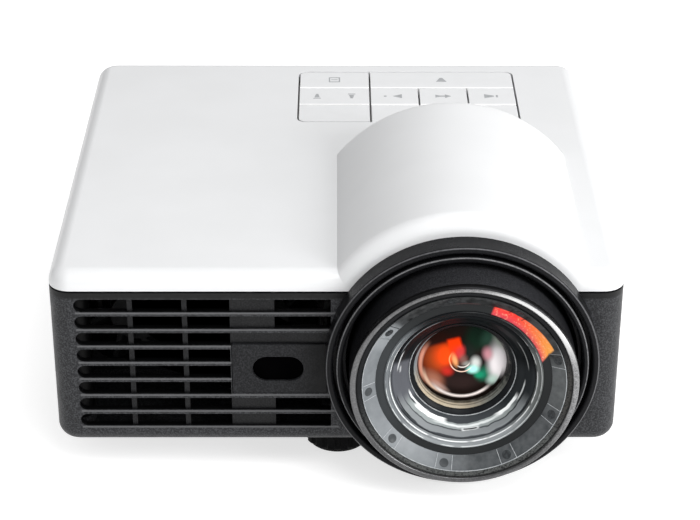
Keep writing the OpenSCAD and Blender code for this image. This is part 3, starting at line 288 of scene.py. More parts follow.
board_green = Surface("board_green", (0.012, 0.085, 0.032), 0.35, Coat_Weight=0.3)
board_green.mottle((0.03, 0.15, 0.06), 1.1, 0.52, 0.55, 0.0).grain(0.9, 0.02, 0.0)
speaker_paper = plastic("speaker_paper", (0.025, 0.025, 0.026), 0.8, 0.3, 0.03,
                        (0.045, 0.045, 0.046))
light_source = metal("light_source", (0.7, 0.68, 0.6), 0.3, 0.4, 0.01)
clear_glass = Surface("clear_glass", (0.75, 0.8, 0.82), 0.05, Alpha=0.35,
                      Transmission_Weight=0.2)
clear_glass.mottle((0.7, 0.78, 0.82), 5).grain(3, 0.001)

# the louvre slots' walls lie in painted shade; the bars' top edges get a pale painted
# highlight
LOUVRE_LEFT, LOUVRE_RIGHT, LOUVRE_LOW, LOUVRE_HIGH = -51.2, 0.5, 10.4, 40.4
SLOT_EDGE, RIB_FACE = 0.28, 0.7             # depths behind the front of the case
SHADE_FULL, SHADE_END = 8, 12               # depths between which the shade fades out
BAR_TOP, BAR_PITCH = 11.14, 3.73            # height of the lowest bar's top, and the step
BAR_HIGHLIGHT = (0.11, 0.111, 0.115)
DEEP_SHADE = (0.001, 0.001, 0.0012)
case_x, case_s, case_z = case_black.axes()
louvres = case_black.product(case_black.band(case_x, LOUVRE_LEFT, LOUVRE_RIGHT, 0.15),
                             case_black.band(case_z, LOUVRE_LOW, LOUVRE_HIGH, 0.1))
in_slots = case_black.product(
    louvres, case_black.ramp(case_s, SLOT_EDGE, SLOT_EDGE + 0.15),
    case_black.ramp(case_s, SHADE_END, SHADE_FULL),
    case_black.math("SUBTRACT", 1.0, case_black.band(case_s, RIB_FACE, RIB_FACE, 0.05)))
case_black.paint(in_slots, DEEP_SHADE)
# painted highlight: a pale strip along the top edge of each bar
below_bar = case_black.math(
    "WRAP", case_black.math("SUBTRACT", case_z, BAR_TOP), BAR_PITCH / 2, -BAR_PITCH / 2)
case_black.paint(case_black.product(
    louvres, case_black.ramp(case_s, SLOT_EDGE, SLOT_EDGE - 0.1),
    case_black.band(case_x, LOUVRE_LEFT + 0.5, LOUVRE_RIGHT, 0.1),
    case_black.band(below_bar, -0.3, 0.1, 0.12), 0.8), BAR_HIGHLIGHT)

# the strip above the louvres lies in the shade of the cover's edge
case_black.paint(case_black.product(case_black.ramp(case_z, 40.1, 40.6),
                                    case_black.ramp(case_s, 60, 20), 0.9), CASE_SHADE)

# the round lens parts shade the end of the sensor plate
plate_x, _, _ = plate_black.axes()
plate_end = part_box("sensor_plate")[1].x / MM
plate_black.paint(plate_black.product(plate_black.ramp(plate_x, plate_end - 7, plate_end - 2),
                                      0.8), DEEP_SHADE)

# painted highlights, broken up by noise, along the edges of the rings round the lens
_, _, edge_r, _ = collar_black.lens_place()
_, edge_s, _ = collar_black.axes()
COLLAR_R, TRIM_R = 26.65, 24.6              # outer radii of the two edges
for radius, tone in ((COLLAR_R, (0.10, 0.10, 0.105)), (TRIM_R, (0.17, 0.17, 0.175))):
    collar_black.paint(collar_black.product(
        collar_black.band(edge_r, radius - 0.28, radius - 0.02, 0.06),
        collar_black.ramp(edge_s, -4.5, -4.65),
        collar_black.ramp(collar_black.noise(0.5), 0.3, 0.6, 0.6, 1.0)), tone)

# painted shade: the drum is darkened inside the rings, and left lighter where it faces up to
# the light
_, _, _, drum_angle = barrel_black.lens_place()
barrel_black.paint(barrel_black.product(
    barrel_black.math("SUBTRACT", 1.0, barrel_black.arc(drum_angle, 82, 42, 30)), 0.85),
    (0.0025, 0.0025, 0.003))

# the keys' front edges catch the light
key_s = key_white.axes()[1]
for node in ("menu_key", "enter_key"):
    front_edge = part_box(node)[0].y / MM - FRONT
    key_white.paint(key_white.band(key_s, front_edge - 0.05, front_edge + 0.22, 0.06),
                    (0.95, 0.95, 0.95))

# the floor glows a little, so that it shows as white with hardly any shadow
FLOOR_GRAY, FLOOR_GLOW = (0.56, 0.56, 0.56), 0.68
floor_pale = Surface("floor_pale", FLOOR_GRAY, 0.9, Specular_IOR_Level=0.1)
floor_pale.mottle((0.55, 0.55, 0.55), 60).grain(8, 0.01)
floor_pale.shader.inputs["Emission Color"].default_value = (1, 1, 1, 1)
floor_pale.shader.inputs["Emission Strength"].default_value = FLOOR_GLOW

# ---------------------------------------------------------------- pieces from CAD nodes


WELD, FLAT_ANGLE = 0.0008, 0.3              # mm and degrees, for clearing CAD meshes
BEVEL_ANGLE = 32                            # degrees between faces


def set_smooth(mesh, angle=30):
    """Smooth shading, with edges above angle degrees kept sharp."""
    mesh.shade_smooth()
    mesh.set_sharp_from_angle(angle=math.radians(angle))


def new_piece(name, mesh, surface, body, replaces=()):
    """An object of its own that rides on a body, and stands for the nodes it replaces."""
    piece = bpy.data.objects.new(name, mesh)
    scene.collection.objects.link(piece)
    mesh.materials.clear()
    mesh.materials.append(surface.material)
    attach(piece, body)
    if replaces:
        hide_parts(*replaces)
    return piece


def add_stack(bm, rims):
    """Faces between stacked outlines with equal numbers of points, closed at both ends."""
    rims = [[bm.verts.new(point) for point in rim] for rim in rims]
    for lower, upper in zip(rims, rims[1:]):
        for k in range(len(lower)):
            j = (k + 1) % len(lower)
            bm.faces.new((lower[k], lower[j], upper[j], upper[k]))
    bm.faces.new(rims[-1])
    bm.faces.new(list(reversed(rims[0])))


def finished_mesh(bm, name):
    """The mesh of bm with its faces turned outward."""
    bmesh.ops.recalc_face_normals(bm, faces=bm.faces)
    mesh = bpy.data.meshes.new(name)
    bm.to_mesh(mesh)
    bm.free()
    return mesh


def soft_edges(piece, width, segments):
    """Round every edge sharper than BEVEL_ANGLE by width mm."""
    bevel = piece.modifiers.new("soft_edges", "BEVEL")
    bevel.limit_method = "ANGLE"
    bevel.angle_limit = math.radians(BEVEL_ANGLE)
    bevel.width = width * MM
    bevel.segments = segments
    bevel.use_clamp_overlap = True
    bevel.miter_outer = "MITER_ARC"


def dressed(node, body, surface, width, segments=2):
    """A copy of a CAD node with softened edges, which stands for it."""
    bm = bmesh.new()
    bm.from_mesh(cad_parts[node].data)
    bmesh.ops.remove_doubles(bm, verts=bm.verts, dist=WELD * MM)
    bmesh.ops.dissolve_limit(bm, angle_limit=math.radians(FLAT_ANGLE), verts=bm.verts,
                             edges=bm.edges)
    points = [v.co.copy() for v in bm.verts]
    bm.verts.index_update()
    faces = [[v.index for v in f.verts] for f in bm.faces]
    bm.free()
    mesh = bpy.data.meshes.new(node + "_finished")
    mesh.from_pydata(points, [], faces)
    set_smooth(mesh)
    piece = new_piece(node + "_finished", mesh, surface, body, (node,))
    soft_edges(piece, width, segments)
    piece.modifiers.new("even_normals", "WEIGHTED_NORMAL").keep_sharp = True


for name, slot, surface, width in (
        ("top_cover", "cover_white", cover_white, 0.12),
        ("lower_case", "case_black", case_black, 0.16),
        ("sensor_plate", "case_black", plate_black, 0.14),
        ("lens_collar", "collar_black", collar_black, 0.12),
        ("trim_ring", "collar_black", collar_black, 0.12),
        ("lens_barrel", "barrel_black", barrel_black, 0.1),
        ("sensor_window", "window_black", window_black, 0.1),
        ("remote_window", "window_black", window_black, 0.2),
        ("power_jack", "socket_black", socket_black, 0.1),
        ("audio_jack", "socket_black", socket_black, 0.1),
        ("hdmi_socket", "socket_metal", socket_metal, 0.06),
        ("usb_socket", "socket_metal", socket_metal, 0.06),
        ("universal_socket", "socket_metal", socket_metal, 0.06),
        ("card_slot", "socket_metal", socket_metal, 0.06),
        ("rear_feet", "rubber", rubber, 0.2)):
    dressed(name, "case", surface, width)
dressed("foot_wheel", "foot_wheel", foot_black, 0.2)
dressed("foot_pad", "foot_pad", rubber, 0.2)
for key in ("menu_key", "power_key", "up_key", "left_key", "enter_key", "right_key",
            "down_key", "focus_rocker"):
    dressed(key, key, key_white, 0.22, 3)

# the rear panel and the inner pieces keep their CAD shapes and get their materials
for surface, names in (
        (steel, "lens_screws guide_rod focus_bracket focus_motor board_screws case_screws "
                "rocker_pin"),
        (brass, "focus_screw tripod_insert"), (aluminium, "heat_sink chip_heat_sink"),
        (rear_black, "rear_panel"), (engine_black, "engine_housing"),
        (barrel_black, "focus_cell"),
        (fan_black, "fan_frames fan_rotor_left fan_rotor_right"),
        (light_source, "led_modules"),
        (board_green, "main_board chip_board sensor_board key_board"),
        (chip_gray, "mirror_chip"), (speaker_paper, "speaker_frame speaker_cone"),
        (guide_white, "key_guide"),
        (clear_glass, "focus_lens relay_lens prism dichroic_plates")):
    for name in names.split():
        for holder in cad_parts[name].material_slots:
            holder.material = surface.material

# ---------------------------------------------------------------- lens rings


def soften(profile, radius, steps=3):
    """The closed outline with every corner rounded by a small arc."""
    rounded = []
    n = len(profile)
    for i in range(n):
        before, here, after = (Vector(profile[(i + k) % n]) for k in (-1, 0, 1))
        a, b = before - here, after - here
        reach = min(radius, a.length * 0.45, b.length * 0.45)
        start, end = here + a.normalized() * reach, here + b.normalized() * reach
        for k in range(steps + 1):
            t = k / steps
            rounded.append((1 - t) ** 2 * start + 2 * t * (1 - t) * here + t * t * end)
    return [tuple(p) for p in rounded]


def lathe_mesh(name, profile, start=0.0, end=360.0, step=2.0):
    """The closed outline of (radius, s) points swept round the lens axis."""
    whole = end - start >= 360
    count = max(2, round((end - start) / step))
    bm = bmesh.new()
    rows = []
    for i in range(count if whole else count + 1):
        angle = start + (end - start) * i / count
        rows.append([bm.verts.new(on_lens(r, angle, s)) for r, s in profile])
    turns = count if whole else len(rows) - 1
    for i in range(turns):
        here, there = rows[i], rows[(i + 1) % len(rows)]
        for k in range(len(profile)):
            j = (k + 1) % len(profile)
            bm.faces.new((here[k], here[j], there[j], there[k]))
    if not whole:
        bm.faces.new(rows[0])
        bm.faces.new(list(reversed(rows[-1])))
    bmesh.ops.remove_doubles(bm, verts=bm.verts, dist=0.001 * MM)
    mesh = finished_mesh(bm, name)
    set_smooth(mesh, 40)
    return mesh


def ring(name, profile, surface, slot, replaces=(), round_by=0.12, **sweep):
    """A turned piece of the lens, with the corners of its outline rounded."""
    return new_piece(name, lathe_mesh(name, soften(profile, round_by), **sweep), surface,
                     "case", replaces)


def painted_light_by_angle(surface, angle, stops):
    """Painted light and shade by angle, from the right side up over the top, as the clear
    glass shows them.

    stops are rows of middle angle, half width, softness and tone.
    """
    for middle_angle, half, soft, tone in stops:
        surface.paint(surface.arc(angle, middle_angle, half, soft), srgb(tone))


SECTOR_LOW, SECTOR_HIGH = 19.5, 72.0


def sector_paint(surface, radius, angle):
    """The red to yellow reflection of the coating, over one sector of the ring."""
    outer = surface.ramp(angle, SECTOR_LOW, SECTOR_HIGH, 18.6, 17.4)
    inside = surface.ramp(surface.math("SUBTRACT", outer, radius), -0.08, 0.08)
    warm = surface.mix(surface.ramp(angle, 22, 56), srgb("#ffae45"), srgb("#ff3a2c"))
    deep = surface.mix(surface.ramp(radius, 15.5, 17.4), srgb("#c8404e"), warm)
    streaks = surface.ramp(surface.noise(0.45, 3.0), 0.55, 0.72)
    flecked = surface.mix(surface.product(streaks, 0.55), deep, srgb("#ffc9a0"))
    low_end = surface.math("SUBTRACT", angle, surface.ramp(radius, 15.4, 18.6, -4.0, 5.0))
    ends = surface.product(surface.ramp(low_end, SECTOR_LOW - 0.7, SECTOR_LOW + 0.7),
                           surface.ramp(angle, SECTOR_HIGH - 0.7, SECTOR_HIGH + 0.7, 1.0, 0.0))
    surface.paint(surface.product(ends, inside), flecked)


bezel_gray = Surface("bezel_gray", (0.3, 0.3, 0.305), 0.32, Metallic=0.85)
bezel_gray.mottle((0.13, 0.13, 0.132), 0.26).polish(0.28, 0.4, 0.5).grain(0.22, 0.02, 3.0)
_, _, rim_r, rim_angle = bezel_gray.lens_place()
# painted shade on the rim's left side and bottom, and a painted highlight at its upper right
bezel_gray.paint(bezel_gray.product(bezel_gray.arc(rim_angle, 165, 60, 20), 0.65),
                 (0.09, 0.09, 0.092))
bezel_gray.paint(bezel_gray.product(bezel_gray.arc(rim_angle, -92, 62, 25), 0.75),
                 (0.05, 0.05, 0.052))
bezel_gray.paint(bezel_gray.arc(rim_angle, 48, 27, 12), (0.62, 0.62, 0.62))
rim_side = bezel_gray.ramp(bezel_gray.arc(rim_angle, 90, 60, 25), 0, 1, 21.98, 21.68)
bezel_gray.paint(bezel_gray.ramp(bezel_gray.math("SUBTRACT", rim_r, rim_side), -0.03, 0.03),
                 (0.008, 0.008, 0.009))

land_gray = Surface("land_gray", srgb("#121315"), 0.45, Specular_IOR_Level=0.12)
_, _, _, land_angle = land_gray.lens_place()
# painted light: lighter at the bottom and at the right, where the light falls
painted_light_by_angle(land_gray, land_angle, ((-80, 72, 30, "#4c4e4d"), (-5, 20, 14, "#3a3937")))
land_gray.mottle(srgb("#0e0f11"), 0.3, 0.45, 0.7).grain(0.25, 0.03, 3.0)

flange_gray = Surface("flange_gray", srgb("#0b0c0d"), 0.35, Specular_IOR_Level=0.2)
_, _, flange_r, flange_angle = flange_gray.lens_place()
# painted light and shade by angle over the flange
painted_light_by_angle(flange_gray, flange_angle, (
    (-90, 84, 12, "#3b3e40"), (0, 16, 5, "#4b4e4f"), (-158, 60, 16, "#696d70"),
    (146, 10, 4, "#808487"), (-132, 22, 16, "#74787b")))
# a painted red glint at the top of the flange's inner edge
flange_gray.paint(flange_gray.product(
    flange_gray.arc(flange_angle, 89, 7, 2), flange_gray.ramp(flange_r, 17.5, 17.2), 0.8),
    srgb("#4a2424"))
sector_paint(flange_gray, flange_r, flange_angle)
flange_gray.paint(flange_gray.product(flange_gray.ramp(flange_gray.noise(1.6, 4.0), 0.35, 0.7),
                                      0.12), srgb("#a9acae"))
flange_gray.grain(0.4, 0.006, 3.0)

annulus_black = Surface("annulus_black", srgb("#1d1f20"), 0.4, Specular_IOR_Level=0.15)
_, _, annulus_r, annulus_angle = annulus_black.lens_place()
# painted light: lighter on the left, darker at the lower right
painted_light_by_angle(annulus_black, annulus_angle, ((180, 42, 20, "#303335"), (-40, 40, 20, "#17191a")))
sector_paint(annulus_black, annulus_r, annulus_angle)
annulus_black.grain(0.4, 0.006)

# pale painted highlight for the thin edge pieces of the glass, with painted shade over the top
line_highlight = Surface("line_highlight", srgb("#aeb1b3"), 0.3, Specular_IOR_Level=0.2)
_, _, _, line_angle = line_highlight.lens_place()
line_highlight.mottle(srgb("#8f9396"), 0.7).grain(0.5, 0.004)
painted_light_by_angle(line_highlight, line_angle, ((85, 62, 12, "#0f1011"),))

mark_dark = Surface("mark_dark", srgb("#3f4244"), 0.35, Specular_IOR_Level=0.15)
_, _, _, mark_angle = mark_dark.lens_place()
# painted shade: darker at the top and at the lower right
painted_light_by_angle(mark_dark, mark_angle, ((80, 70, 10, "#0d0e10"), (-45, 50, 20, "#2a2c2e")))
mark_dark.mottle(srgb("#3a3d3f"), 0.5).grain(0.3, 0.01)

lip_glass = Surface("lip_glass", srgb("#303335"), 0.2, Specular_IOR_Level=0.12)
_, _, lip_r, lip_angle = lip_glass.lens_place()
lip_glass.mottle(srgb("#4a4d4f"), 0.9, 0.5, 0.8, 3.0).grain(1.2, 0.006)
# painted light: lighter at the bottom and the sides, dark at the top
painted_light_by_angle(lip_glass, lip_angle, (
    (-100, 75, 30, "#7f8385"), (180, 46, 14, "#676b6e"), (0, 30, 16, "#565958"),
    (80, 44, 14, "#121416")))
# painted highlights: two thin pale lines over the lower part
for low_r, high_r, tone in ((14.18, 14.3, "#e8ebeb"), (15.0, 15.1, "#c9cdcd")):
    lip_glass.paint(lip_glass.product(
        lip_glass.band(lip_r, low_r, high_r, 0.05),
        lip_glass.ramp(lip_glass.noise(2.4, 1.0), 0.38, 0.5),
        lip_glass.arc(lip_angle, -90, 125, 15)), srgb(tone))

ring_black = Surface("ring_black", srgb("#17181a"), 0.3, Specular_IOR_Level=0.05)
ring_black.mottle(srgb("#1b1d1f"), 1.6).grain(0.6, 0.006)

cone_gray = Surface("cone_gray", srgb("#393c3f"), 0.3, Specular_IOR_Level=0.03)
_, _, cone_r, cone_angle = cone_gray.lens_place()
wander = cone_gray.math("ADD", cone_r, cone_gray.ramp(cone_gray.noise(3.2, 2.0), 0.3, 0.7,
                                                      -0.14, 0.14))
# painted shade: dark at the top, lighter at the left, darker at the lower right
painted_light_by_angle(cone_gray, cone_angle, ((85, 86, 18, "#131517"), (-172, 22, 3, "#53555a"),
                              (-20, 26, 12, "#25282a")))
# painted reflections in the bowl, light and dark bands and glints: middle angle, half width,
# radii, tone and softness
for middle_angle, half, low_r, high_r, tone, soft in (
        (-90, 66, 12.6, 13.45, "#7b7f81", 10), (-92, 60, 11.6, 12.45, "#8b9191", 8),
        (-124, 17, 11.2, 11.85, "#f6f8f8", 4), (-142, 15, 11.0, 11.3, "#dfe2e2", 4),
        (-84, 30, 11.85, 12.15, "#cfd3d3", 8), (-40, 14, 11.5, 12.0, "#eef0f0", 5),
        (-18, 10, 12.05, 12.25, "#c4c7c7", 4), (22, 14, 12.6, 12.75, "#8f9292", 4),
        (164, 9, 12.7, 12.95, "#b5b8b9", 3), (174, 3, 12.2, 12.5, "#a3a6a8", 1.5),
        (-150, 12, 13.35, 13.5, "#141617", 3), (-82, 7.5, 12.22, 12.62, "#d3d6d6", 1.5),
        (-82, 6.4, 12.32, 12.52, "#16191b", 1.2), (132, 20, 13.2, 13.35, "#83878a", 6)):
    cone_gray.paint(cone_gray.product(
        cone_gray.arc(cone_angle, middle_angle, half, soft),
        cone_gray.band(wander if high_r - low_r > 0.3 else cone_r, low_r, high_r, 0.07)),
        srgb(tone))
cone_gray.grain(1.4, 0.006)

cream_rim = Surface("cream_rim", srgb("#0b0c0d"), 0.3, Specular_IOR_Level=0.15)
_, _, cream_r, cream_angle = cream_rim.lens_place()
# painted light: the dark rim is lit cream and gray from the left round below
painted_light_by_angle(cream_rim, cream_angle, ((-176, 54, 12, "#727b7f"), (-58, 30, 18, "#696b66"),
                               (-118, 46, 22, "#a99d88")))
for low_r, high_r, soft, strength, tone in (
        (8.98, 9.08, 0.07, 0.85, "#2f2922"), (8.6, 8.85, 0.05, 0.8, "#1a1410")):
    cream_rim.paint(cream_rim.product(
        cream_rim.band(cream_r, low_r, high_r, soft),
        cream_rim.arc(cream_angle, -100, 75, 15), strength), srgb(tone))
cream_rim.paint(cream_rim.product(cream_rim.ramp(cream_rim.noise(1.1, 2.0), 0.45, 0.7), 0.12),
                srgb("#cfcac0")).grain(0.8, 0.004)

ring("bezel_finished", [
    (22.05, -10.3), (22.05, -11.25), (21.95, -11.48), (21.72, -11.68), (21.4, -11.78),
    (21.08, -11.76), (20.88, -11.6), (20.8, -11.3), (20.8, -11.0), (20.2, -11.0),
    (20.2, -10.3)],
    bezel_gray, "bezel_gray", ("bezel_ring",), 0.06)
ring("bezel_land", [(20.79, -11.15), (20.5, -11.2), (19.75, -10.95), (19.7, -9.0),
                    (20.2, -9.0), (20.2, -10.3), (20.79, -10.9)],
     land_gray, "bezel_gray", (), 0.08)
ring("flange_ring", [(19.66, -11.0), (19.5, -11.02), (17.05, -9.15), (17.05, -8.6),
                     (19.66, -10.5)], flange_gray, "clear_glass", ("front_lens",), 0.05)
ring("flange_line", [(19.68, -11.1), (19.54, -11.1), (19.52, -10.98), (19.68, -10.96)],
     line_highlight, "clear_glass", (), 0.04)
ring("annulus_ring", [(17.06, -9.12), (15.45, -9.05), (15.4, -8.6), (17.06, -8.6)],
     annulus_black, "barrel_black", ("baffle_tube",), 0.05)
ring("glass_lip", [
    (15.4, -7.6), (15.42, -9.1), (15.15, -9.35), (14.9, -9.05), (14.6, -8.8), (14.35, -8.9),
    (14.1, -8.5), (14.0, -8.1), (14.0, -7.6)], lip_glass, "clear_glass", (), 0.1)
ring("bowl_cone", [
    (14.02, -7.6), (13.98, -8.15), (13.6, -8.2), (13.2, -7.9), (12.4, -7.0), (11.8, -6.3),
    (11.0, -5.7), (10.5, -5.1), (10.45, -4.3), (13.6, -6.8)], cone_gray, "clear_glass", (),
    0.12)
ring("bowl_line", [(10.5, -5.25), (10.36, -5.3), (10.3, -5.14), (10.5, -5.0)], line_highlight,
     "clear_glass", (), 0.04)
ring("throat_ring", [(10.5, -5.02), (10.2, -5.05), (9.5, -4.4), (9.45, -3.3), (10.5, -4.0)],
     ring_black, "barrel_black", (), 0.08)
ring("lens_rim", [(9.52, -4.1), (9.3, -4.0), (8.9, -3.3), (8.75, -2.9), (8.7, -2.0),
                  (8.7, -1.4), (9.52, -2.4)], cream_rim, "clear_glass", (), 0.1)

# pads with a round mark each, between two moulded ribs with a pale painted highlight, on the
# sloping flange
PAD_ANGLES = (16, 57, 99, 142, 185.5, 222.4, 259.3, 298.5, 338)
PAD_HALF = 4.9
RIB_TURN = 0.16                             # degrees, half the width of a moulded line
MARK_R, MARK_SIDES = 0.9, 28
MARK_PLACE = (18.45, -10.24)                # radius and place behind the case front
MARK_RIMS = ((1.0, -0.3), (1.0, 0.03), (0.93, 0.05), (0.84, 0.02))    # share of MARK_R, lift
FLANGE_RISE, FLANGE_RUN = 1.87, 2.45
slope = math.atan2(FLANGE_RISE, FLANGE_RUN)
for n, middle_angle in enumerate(PAD_ANGLES):
    for side in (-1, 1):
        a = middle_angle + side * PAD_HALF
        ring(f"flange_rib_{n}_{'ab'[side > 0]}", [
            (19.55, -11.12), (19.55, -10.9), (17.15, -9.12), (17.1, -9.27)], line_highlight,
            "clear_glass", (), 0.02, start=a - RIB_TURN, end=a + RIB_TURN, step=RIB_TURN)

    out = on_lens(1, middle_angle, 0) - on_lens(0, 0, 0)
    out.normalize()
    along = out * math.cos(slope) + Vector((0, -1, 0)) * math.sin(slope)
    face = out * -math.sin(slope) + Vector((0, -1, 0)) * math.cos(slope)
    tangent = face.cross(along)
    centre = on_lens(MARK_PLACE[0], middle_angle, MARK_PLACE[1])
    bm = bmesh.new()
    add_stack(bm, [[centre + MM * (share * MARK_R * (
        math.cos(b) * along + math.sin(b) * tangent) + lift * face)
        for b in (2 * math.pi * k / MARK_SIDES for k in range(MARK_SIDES))]
        for share, lift in MARK_RIMS])
    mesh = finished_mesh(bm, f"flange_mark_{n}")
    set_smooth(mesh, 45)
    new_piece(f"flange_mark_{n}", mesh, mark_dark, "case")

# the coated inner lens, with painted reflections laid over its dark coating
coating_and_reflections = Surface("coating_and_reflections", srgb("#160a07"), 0.3, Specular_IOR_Level=0.08)
lens_u, lens_v, lens_r, lens_angle = coating_and_reflections.lens_place()


def reflections(rows):
    """Painted reflections as soft ellipses: tone, centre, half sizes, turn, core and strength.
    """
    for tone, centre, half, turn, core, strength in rows:
        shape = coating_and_reflections.blob(lens_u, lens_v, centre, half, turn, core)
        coating_and_reflections.paint(coating_and_reflections.product(shape, strength), srgb(tone))


reflections((
        ("#7a2a0d", (-5.6, 0.8), (4.2, 6.6), 8, 0.1, 1.0),
        ("#a8410f", (-5.6, 1.6), (3.0, 4.2), 4, 0.1, 1.0),
        ("#b5755c", (-5.6, -3.0), (3.6, 2.6), -42, 0.1, 0.9),
        ("#d9b3a6", (-4.4, -4.6), (3.2, 1.3), -38, 0.1, 0.6),
        ("#f04a08", (-3.9, 2.6), (2.9, 4.0), -4, 0.1, 1.0),
        ("#ff4a04", (-3.2, 2.9), (2.0, 2.9), -8, 0.2, 1.0),
        ("#d0281c", (-3.0, -0.6), (1.8, 1.7), 0, 0.1, 0.8)))
# painted reflections in soft rectangles, one dark and one bright orange
for tone, centre, half, turn, soft in (
        ("#250d07", (-6.2, 7.6), (5.6, 3.1), 23.5, 0.45),
        ("#ff3a00", (-1.55, 4.9), (1.25, 1.25), 16, 0.4)):
    coating_and_reflections.paint(coating_and_reflections.patch(lens_u, lens_v, centre, half, turn, soft),
                       srgb(tone))
reflections((
        ("#1c0f0a", (-1.2, 8.2), (4.5, 1.9), 8, 0.4, 1.0),
        ("#e8321a", (-1.2, 3.6), (1.5, 1.9), -10, 0.1, 0.9),
        ("#0a2417", (2.9, 6.6), (3.4, 4.2), -25, 0.3, 1.0),
        ("#2f5444", (5.2, 6.3), (2.3, 3.0), -35, 0.1, 0.8),
        ("#141c17", (1.4, 3.8), (1.3, 2.6), 10, 0.25, 0.95),
        ("#0f6a4f", (4.3, -1.4), (2.6, 2.6), -20, 0.1, 1.0),
        ("#ded9da", (7.5, 0.4), (3.4, 6.4), 8, 0.35, 1.0),
        ("#f3edee", (7.2, 0.4), (2.2, 4.6), 8, 0.2, 1.0),
        ("#aab7a8", (7.2, 5.3), (1.6, 3.0), 30, 0.1, 0.8),
        ("#c98a94", (4.9, 2.9), (1.5, 2.2), 20, 0.1, 0.9),
        ("#bcd8cb", (6.1, -3.2), (1.9, 2.0), 30, 0.1, 0.8),
        ("#088560", (3.3, -1.5), (1.5, 1.2), -20, 0.2, 1.0),
        ("#241310", (-0.4, -3.3), (4.4, 2.6), 0, 0.25, 0.95),
        ("#c9ccc8", (2.5, 1.3), (1.5, 2.0), 8, 0.15, 0.95),
        ("#a8f0e2", (2.0, -0.1), (1.8, 1.4), -8, 0.15, 1.0),
        ("#c8383a", (-0.5, 3.4), (1.3, 2.2), -14, 0.15, 0.95),
        ("#7f5750", (0.1, 2.0), (1.3, 1.7), 0, 0.1, 0.85),
        ("#f5a468", (-1.55, 1.9), (0.85, 2.1), 16, 0.1, 0.95),
        ("#8f908a", (0.7, 1.2), (1.3, 0.9), 20, 0.1, 0.8),
        ("#3a2c2a", (0.0, 0.5), (1.2, 0.6), 0, 0.3, 0.9)))
# painted reflections as thin crescents, parts of circles: centre, radius, angles, half
# thickness and tone
for centre, radius, low, high, thick, tone in (
        ((-0.2, 1.75), 2.3, -165, -40, 0.09, "#ffd9c4"),
        ((-0.1, 2.0), 1.55, -120, -30, 0.1, "#e9dfd8"),
        ((-0.6, 2.0), 2.0, 150, 215, 0.12, "#ffa066")):
    du, dv = (coating_and_reflections.math("SUBTRACT", place, origin)
              for place, origin in zip((lens_u, lens_v), centre))
    turn = coating_and_reflections.product(coating_and_reflections.math("ARCTAN2", dv, du), 180 / math.pi)
    coating_and_reflections.paint(coating_and_reflections.product(
        coating_and_reflections.band(coating_and_reflections.length(du, dv), radius - thick, radius + thick, 0.1),
        coating_and_reflections.arc(turn, (low + high) / 2, (high - low) / 2, 18)), srgb(tone))
# the painted highlight along the edge from the left side round below, and the dark line
# outside it: tone, middle angle, half width, radii and softness
for tone, middle_angle, half, low_r, high_r, soft in (
        ("#f2a58c", 178, 26, 7.8, 8.5, 0.25), ("#f4cdb2", -146, 20, 7.3, 8.0, 0.3),
        ("#fff3ee", -92, 46, 6.75, 7.45, 0.35), ("#120a08", -75, 60, 7.85, 8.9, 0.15)):
    coating_and_reflections.paint(coating_and_reflections.product(
        coating_and_reflections.arc(lens_angle, middle_angle, half, 14),
        coating_and_reflections.band(lens_r, low_r, high_r, soft)), srgb(tone))
coating_and_reflections.grain(4.0, 0.001)

DOME_R, DOME_SAG, DOME_STEPS, RIM_S = 8.75, 2.4, 24, -2.4
BACK_S = RIM_S + 1.5                        # the flat back of the dome
dome = [(DOME_R * i / DOME_STEPS, RIM_S - DOME_SAG * (1 - (i / DOME_STEPS) ** 2))
        for i in range(DOME_STEPS + 1)]
new_piece("inner_lens_finished", lathe_mesh(
    "inner_lens_finished", dome + [(DOME_R, BACK_S), (0, BACK_S)]),
    coating_and_reflections, "case", ("inner_lens",))

# ---------------------------------------------------------------- icons on the keys


ICON_SINK, ICON_LIFT = 0.25, 0.03           # below and above the key's top


def icon(name, key, outlines):
    """Thin raised shapes on a key's top. outlines are lists of (x, y) points in mm."""
    bm = bmesh.new()
    for outline in outlines:
        add_stack(bm, [[Vector((x, y, KEY_TOP + height)) * MM for x, y in outline]
                       for height in (-ICON_SINK, ICON_LIFT)])
    mesh = finished_mesh(bm, name)
    soft_edges(new_piece(name, mesh, icon_gray, key), 0.015, 2)


def rectangle(x, y, w, d):
    """The outline of a rectangle round (x, y)."""
    return [(x - w / 2, y - d / 2), (x + w / 2, y - d / 2), (x + w / 2, y + d / 2),
            (x - w / 2, y + d / 2)]


ROW_REAR, ROW_MID = middle("menu_key").y, middle("enter_key").y
MENU_X, UP_X, LEFT_X, ENTER_X, RIGHT_X = (
    middle(key + "_key").x for key in ("menu", "up", "left", "enter", "right"))
FOCUS_X = middle("focus_rocker").x
icon("menu_icon", "menu_key", [
    rectangle(MENU_X, ROW_REAR + 1.2, 2.6, 0.4), rectangle(MENU_X, ROW_REAR - 1.2, 2.6, 0.4),
    rectangle(MENU_X - 1.15, ROW_REAR, 0.3, 2.0), rectangle(MENU_X + 1.15, ROW_REAR, 0.3, 2.0),
    rectangle(MENU_X, ROW_REAR, 1.5, 0.35)])
icon("focus_icons", "focus_rocker", [
    rectangle(FOCUS_X - 3.95, ROW_MID - 1.2, 1.7, 0.35),
    [(FOCUS_X - 4.55, ROW_MID - 0.7), (FOCUS_X - 3.35, ROW_MID - 0.7),
     (FOCUS_X - 3.7, ROW_MID + 1.2), (FOCUS_X - 4.2, ROW_MID + 1.2)],
    rectangle(FOCUS_X + 3.95, ROW_MID + 1.2, 1.7, 0.35),
    [(FOCUS_X + 3.35, ROW_MID + 0.7), (FOCUS_X + 3.7, ROW_MID - 1.2),
     (FOCUS_X + 4.2, ROW_MID - 1.2), (FOCUS_X + 4.55, ROW_MID + 0.7)]])
